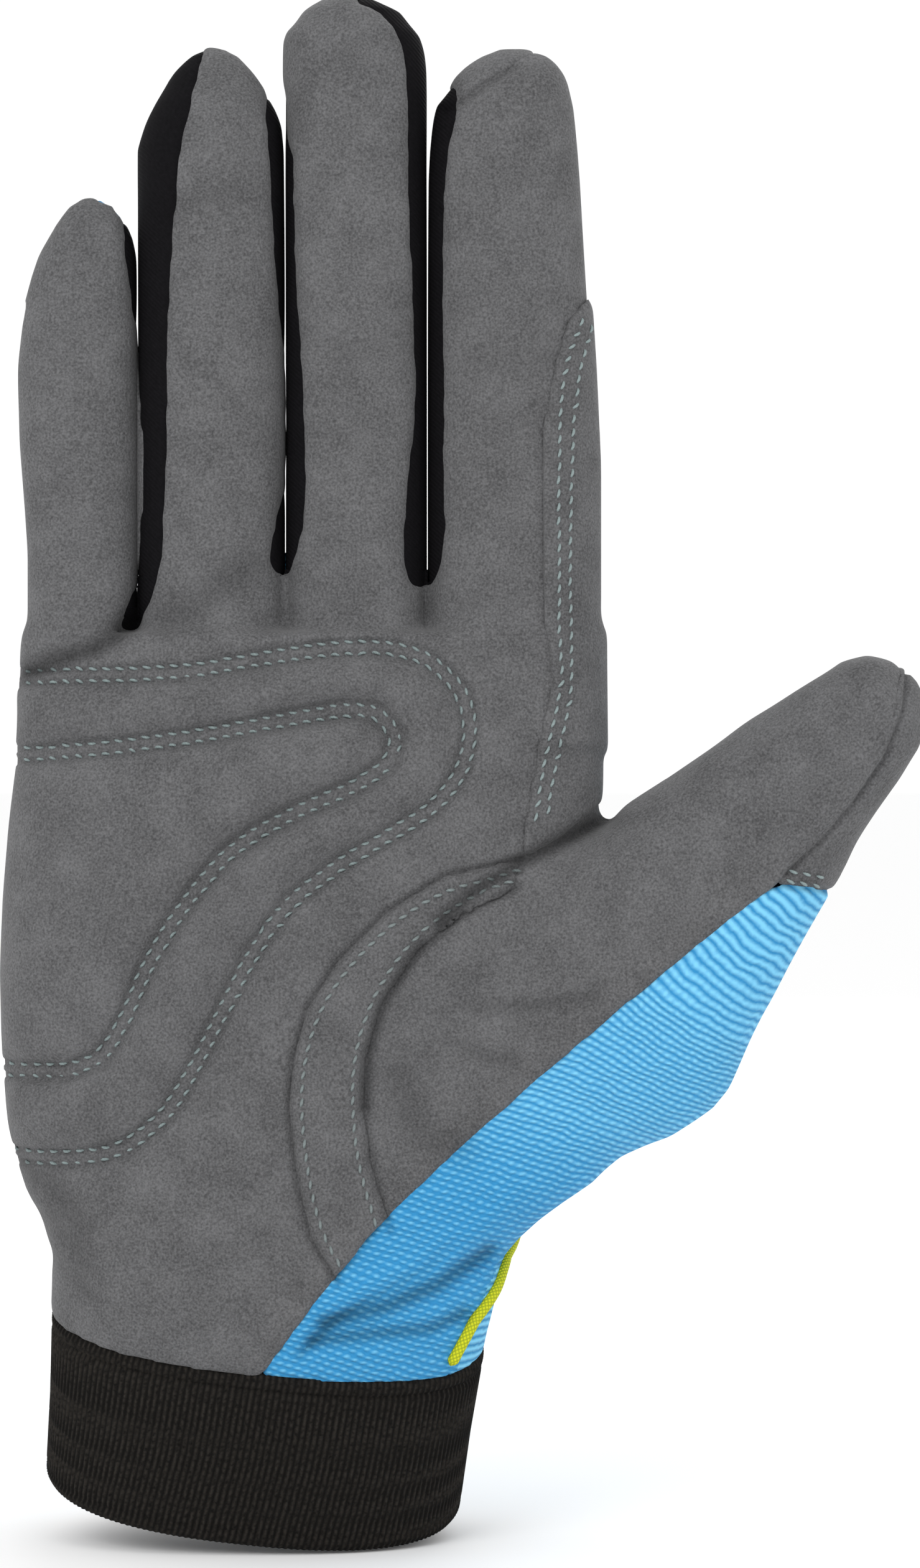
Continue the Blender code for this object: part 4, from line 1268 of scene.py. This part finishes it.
def build_finger(finger, field):
    """A finger's suede front and knit back. The index finger's front ends under its cap."""
    x, y, z = field.grid()
    slits = [limit + 0 * y for limit in slit_limits(x, z)]
    side = y - finger_seam(x, z)
    front = bounded(layer(field, SUEDE_TOP, LAYER_DEPTH), side, *slits)
    if finger == "index":
        beyond = outline_distance(INDEX_CAP, x, z) + 0 * y
        cap = bounded(layer(field, CAP_TOP, LAYER_DEPTH), side, *slits)
        cap = bounded(cap, beyond, roll=CREASE_ROLL)
        add_parts(cloth_mesh(field, cap, SUEDE_TOP), "grey_suede",
                  (("index_tip_cap", "index_tip", in_finger_tip(finger)),))
        front = bounded(front, -beyond - SEAM_LAP, roll=CREASE_ROLL)
    add_finger_parts(finger, "front", cloth_mesh(field, front, SUEDE_TOP), "grey_suede")
    back = bounded(layer(field, KNIT_TOP, LAYER_DEPTH), -side - KNIT_LAP)
    add_finger_parts(finger, "back", cloth_mesh(field, back, KNIT_TOP), "blue_knit", back_cloth)
    build_gussets(finger, field)


def build_gussets(finger, field):
    """The black stretch panels on the sides of a finger that face its neighbours."""
    x, y, z = field.grid()
    side = y - finger_seam(x, z)
    centre = in_mm(JOINTS[f"{finger}_knuckle"]["pos_m"])[0]
    number = FINGERS.index(finger)
    facts = {"left": (number - 1, 1), "right": (number, -1)}
    for hand_side in GUSSETS[finger]:
        slit, sign = facts[hand_side]
        gusset = bounded(layer(field, GUSSET_TOP, LAYER_DEPTH), sign * (x - centre) + 0 * y + 0 * z, side,
                         outline_distance(SLIT_BANDS[slit], x, z) - GUSSET_LAP + 0 * y)
        mesh = cloth_mesh(field, gusset, GUSSET_TOP)
        add_finger_parts(finger, "gusset_" + hand_side, mesh, "black_stretch")


def build_index_strip(whole, index):
    """The stitched strip down the index finger's side, on to the hand."""
    lower = (("index_side_reinforcement", "hand", in_hand),)
    upper = (("index_base_reinforcement", "index_base", in_finger_base("index")),
             ("index_tip_reinforcement", "index_tip", in_finger_tip("index")))
    for field, pieces in ((whole.within(*STRIP_BOX), lower), (index, upper)):
        x, y, z = field.grid()
        strip = bounded(layer(field, OVERLAY_TOP, OVERLAY_DEPTH), outline_distance(INDEX_STRIP, x, z) + 0 * y,
                        y - STRIP_EDGE_Y + 0 * x + 0 * z, roll=CRISP_ROLL)
        add_parts(cloth_mesh(field, strip, OVERLAY_TOP), "grey_suede", pieces)


def build_pads(field):
    """The foam that lies under the suede of the heel, between its stitched seams."""
    x, y, z = field.grid()
    foam = layer(field, -FOAM_TOP, FOAM_DEPTH)
    inner = outline_distance(INNER_PAD, x, z)
    outer = outline_distance(OUTER_PAD, x, z)
    shapes = {"heel_pad_inner": inner + FOAM_INSET,
              "heel_pad_outer": np.maximum(outer + FOAM_INSET, FOAM_INSET - inner)}
    for name, limit in shapes.items():
        mesh = surface_net(Field(bounded(foam, limit + 0 * y, y - FOAM_BACK_Y), field.part))
        add_piece(name + "_foam", mesh, "foam", "hand", (name,))


def ring_points(rows, height, columns, inset=0.0, rib=0.0):
    """One ring of the cuff: points, the distance round it, and the ribs standing out from it."""
    left, right, front, back = (np.interp(height, rows[:, 0], rows[:, i]) for i in (1, 2, 3, 4))
    turn = np.linspace(0, 2 * math.pi, columns, endpoint=False)
    power = 2 / ROUNDNESS
    x = np.sign(np.cos(turn)) * np.abs(np.cos(turn)) ** power * ((right - left) / 2)
    y = np.sign(np.sin(turn)) * np.abs(np.sin(turn)) ** power * ((back - front) / 2)
    steps = np.hypot(x - np.roll(x, 1), y - np.roll(y, 1))
    length = np.cumsum(steps)
    even = np.linspace(0, length[-1], columns, endpoint=False)
    x = np.interp(even, length, x, period=length[-1])
    y = np.interp(even, length, y, period=length[-1])
    across = np.column_stack([np.roll(y, -1) - np.roll(y, 1), np.roll(x, 1) - np.roll(x, -1)])
    across /= np.linalg.norm(across, axis=1, keepdims=True)
    out = rib * np.cos(2 * math.pi * round(length[-1] / CUFF_RIB) * np.arange(columns) / columns) - inset
    flat = np.column_stack([x + (left + right) / 2, y + (front + back) / 2]) + across * out[:, None]
    return np.column_stack([flat, np.full(columns, height)]), even


def tube_faces(rings, columns, closed):
    """Quads between neighbouring rings; a closed tube joins its last ring to its first."""
    a = np.arange(rings * columns).reshape(rings, columns)
    if closed:
        a = np.vstack([a, a[:1]])
    b = np.roll(a, -1, axis=1)
    return np.stack([a[:-1], b[:-1], b[1:], a[1:]], axis=-1).reshape(-1, 4)


def build_cuff():
    """The ribbed outer layer with its edge band, and the plain layer folded inside it."""
    for node, columns in CUFF_COLUMNS.items():
        rows = cuff_rows(node)
        ribbed = node == "cuff_outer_layer"
        rib = CUFF_RIB_DEPTH * ribbed
        heights = np.arange(0.0, CUFF_TOP + TINY, CUFF_RING_STEP)
        profile = [(height, cuff_inset(height) * ribbed, rib) for height in heights]
        profile = [(0.15, CUFF_EDGE, 0.0), *profile, (CUFF_TOP + 0.1, CUFF_EDGE, 0.0)]
        profile += [(height, CUFF_CLOTH, 0.0) for height in np.linspace(CUFF_TOP, 0.4, 5)]
        rings = [ring_points(rows, height, columns, inset, amount) for height, inset, amount in profile]
        local = np.concatenate([ring for ring, _ in rings])
        around = np.concatenate([even for _, even in rings])
        cloth = np.column_stack([around, local[:, 2], np.zeros(len(local))])
        mesh = CUFF.world(local), tube_faces(len(rings), columns, closed=True)
        add_piece(node + "_knit", mesh, "black_elastic", "hand", (node,), lambda p: cloth)


def cuff_inset(height):
    """The cuff's outline up its height: a round hem, a stitched line over it and the edge band's seams."""
    return sum(depth * math.exp(-(((height - middle) / width) ** 2)) for middle, depth, width in CUFF_GROOVES)


def rounded(points, rounds=3):
    """The open line with its corners cut."""
    points = np.array(points, float)
    for _ in range(rounds):
        a, b = points[:-1], points[1:]
        inner = np.stack([a * 0.75 + b * 0.25, a * 0.25 + b * 0.75], axis=1).reshape(-1, points.shape[1])
        points = np.vstack([points[:1], inner, points[-1:]])
    return points


def spaced(points, pitch):
    """Points at an even pitch along a line."""
    length = np.concatenate([[0], np.cumsum(np.linalg.norm(np.diff(points, axis=0), axis=1))])
    at = np.arange(pitch / 2, length[-1], pitch)
    return np.column_stack([np.interp(at, length, points[:, i]) for i in range(points.shape[1])])


def tube(centres, out, radius, sides):
    """A tube round a line, as (points, faces, cloth coordinates)."""
    along = np.gradient(centres, axis=0)
    along /= np.linalg.norm(along, axis=1, keepdims=True)
    side = np.cross(along, out)
    side /= np.linalg.norm(side, axis=1, keepdims=True)
    up = np.cross(side, along)
    turn = np.linspace(0, 2 * math.pi, sides, endpoint=False)
    size = np.broadcast_to(radius, len(centres))[:, None, None]
    around = np.cos(turn)[None, :, None] * side[:, None] + np.sin(turn)[None, :, None] * up[:, None]
    points = (centres[:, None] + around * size).reshape(-1, 3)
    a = np.arange(len(points)).reshape(len(centres), sides)
    b = np.roll(a, -1, axis=1)
    faces = np.stack([a[:-1], a[1:], b[1:], b[:-1]], axis=-1).reshape(-1, 4)
    length = np.concatenate([[0], np.cumsum(np.linalg.norm(np.diff(centres, axis=0), axis=1))])
    cloth = np.column_stack([np.repeat(length, sides), np.tile(turn * np.max(radius), len(centres)),
                             np.zeros(len(points))])
    return points, faces, cloth


def build_piping(field):
    """The piping from the front of the wrist, round its side and up the back to the web of the thumb."""
    route = field.drawn_to(spaced(rounded(PIPING_ROUTE), PIPING_STEP), PIPING_LIFT)
    for _ in range(PIPING_ROUNDS):
        route[1:-1] = (route[:-2] + 2 * route[1:-1] + route[2:]) / 4
    route = field.drawn_to(route, PIPING_LIFT)
    ends = np.minimum(np.arange(len(route)), np.arange(len(route))[::-1])
    radius = PIPING_RADIUS * np.sqrt(np.clip(ends / PIPING_END, 0.02, 1.0))
    *mesh, cloth = tube(route, field.outward(route), radius, PIPING_SIDES)
    add_piece("wrist_piping_braid", mesh, "yellow_piping", "hand", ("wrist_piping",), lambda p: cloth)


def stitch_rows(outline, gap=0.0):
    """The line of a seam in (x, z), or two lines `gap` apart."""
    line = rounded(outline)
    if not gap:
        return [line]
    along = np.gradient(line, axis=0)
    along /= np.linalg.norm(along, axis=1, keepdims=True)
    square = np.column_stack([-along[:, 1], along[:, 0]]) * gap / 2
    return [line + square, line - square]


def stitches(field, lines, level):
    """Short threads along lines on the palm side. Each dips into the cloth at both ends."""
    meshes = []
    shape = np.linspace(-1, 1, STITCH_RINGS)
    lift = STITCH_RADIUS * (0.75 - 1.5 * shape**2)
    radius = STITCH_RADIUS * np.sqrt(np.clip(1.05 - shape**2, 0.05, 1.0))
    for line in lines:
        flat = spaced(line, STITCH_PITCH)
        where = field.in_front(flat, level)
        ahead = field.in_front(flat + np.gradient(flat, axis=0) * 0.2, level)
        for centre, further in zip(where, ahead):
            if np.isnan(centre[1]) or np.isnan(further[1]):
                continue
            two = field.drawn_to(np.array([centre, further]), level)
            along, out = unit(two[1] - two[0]), field.outward(two[:1])[0]
            along = unit(along + STITCH_SLANT * np.cross(along, out))
            centres = two[0] + np.outer(shape * STITCH_LENGTH / 2, along) + np.outer(lift, out)
            meshes.append(tube(centres, np.broadcast_to(out, centres.shape), radius, STITCH_SIDES))
    return meshes


def joined(meshes):
    """Several tubes as one mesh."""
    counts = np.cumsum([0] + [len(points) for points, _, _ in meshes])
    points = np.concatenate([points for points, _, _ in meshes])
    faces = np.concatenate([faces + start for (_, faces, _), start in zip(meshes, counts)])
    cloth = np.concatenate([cloth for _, _, cloth in meshes])
    return points, faces, cloth


def add_stitches(name, body, meshes, keep, material):
    kept = [mesh for mesh in meshes if keep(mesh[0].mean(axis=0)[None])[0]]
    *mesh, cloth = joined(kept)
    add_piece(name, mesh, "grey_suede", body, (), lambda p: cloth, material)


def build_stitches(field, index):
    for name, outline in (("heel_outer_stitches", OUTER_PAD), ("heel_inner_stitches", INNER_PAD)):
        rows = stitches(field, stitch_rows(outline, SEAM_ROW_GAP), SUEDE_TOP - ROW_DEPTH + HEEL_THREAD_DROP)
        add_stitches(name, "hand", rows, in_hand, LIGHT_THREAD)
    index_rows = [rounded(row) for row in INDEX_ROWS]
    rows = stitches(field, index_rows, OVERLAY_TOP)
    add_stitches("index_side_stitches", "hand", rows, in_hand, LIGHT_THREAD)
    rows = stitches(index, index_rows, OVERLAY_TOP)
    add_stitches("index_base_stitches", "index_base", rows, in_finger_base("index"), LIGHT_THREAD)
    add_stitches("index_tip_stitches", "index_tip", rows, in_finger_tip("index"), LIGHT_THREAD)
    rows = stitches(field, [rounded(row) for row in THUMB_BAND_ROWS], BAND_TOP)
    add_stitches("thumb_root_stitches", "hand", rows, in_hand, DARK_THREAD)
    rows = stitches(field, [np.array(row) for row in THUMB_CAP_ROWS], SUEDE_TOP)
    add_stitches("thumb_cap_stitches", "thumb_tip", rows, in_thumb_tip, LIGHT_THREAD)


# Surroundings


def build_floor():
    low = CAD_BOUNDS[0].z - FLOOR_GAP * MM
    corners = ((-1, -1), (1, -1), (1, 1), (-1, 1))
    points = np.array([(FLOOR_HALF * x, FLOOR_HALF * y, low) for x, y in corners]) / MM
    mesh_object("floor", points, [(0, 1, 2, 3)], plain("floor", WHITE, 1.0))


def build_light():
    world = bpy.data.worlds.new("studio")
    world.use_nodes = True
    background = world.node_tree.nodes["Background"].inputs
    background["Color"].default_value = (1, 1, 1, 1)
    background["Strength"].default_value = WORLD_LIGHT
    bpy.context.scene.world = world
    for name, place, size, watts in LAMPS:
        lamp = bpy.data.lights.new(name, "AREA")
        lamp.energy = watts
        lamp.size = size
        made = bpy.data.objects.new(name, lamp)
        made.location = place
        aim = Vector(LAMP_TARGET) - made.location
        made.rotation_euler = aim.to_track_quat("-Z", "Y").to_euler()
        bpy.context.scene.collection.objects.link(made)


def build_camera():
    camera = bpy.data.cameras.new("camera")
    camera.sensor_width = SENSOR
    camera.lens = SENSOR * CAMERA_DISTANCE / VIEW_HEIGHT
    made = bpy.data.objects.new("camera", camera)
    made.location = tuple(np.array([VIEW_CENTRE[0], VIEW_PLANE_Y - CAMERA_DISTANCE, VIEW_CENTRE[1]]) * MM)
    made.rotation_euler = (math.pi / 2, 0, 0)
    bpy.context.scene.collection.objects.link(made)
    bpy.context.scene.camera = made
    bpy.context.scene.view_settings.view_transform = "Standard"


def main():
    whole, fingers = build_fields()
    build_palm_side(whole)
    build_knit(whole)
    build_thumb_cap(whole.within(*THUMB_TIP_BOX))
    build_thumb_band(whole.within(*THUMB_BAND_BOX))
    build_webs(whole)
    for finger, field in fingers.items():
        build_finger(finger, field)
    build_index_strip(whole, fingers["index"])
    build_pads(whole.within(*PAD_BOX))
    build_cuff()
    build_piping(whole)
    build_stitches(whole, fingers["index"])
    build_floor()
    build_light()
    build_camera()


main()
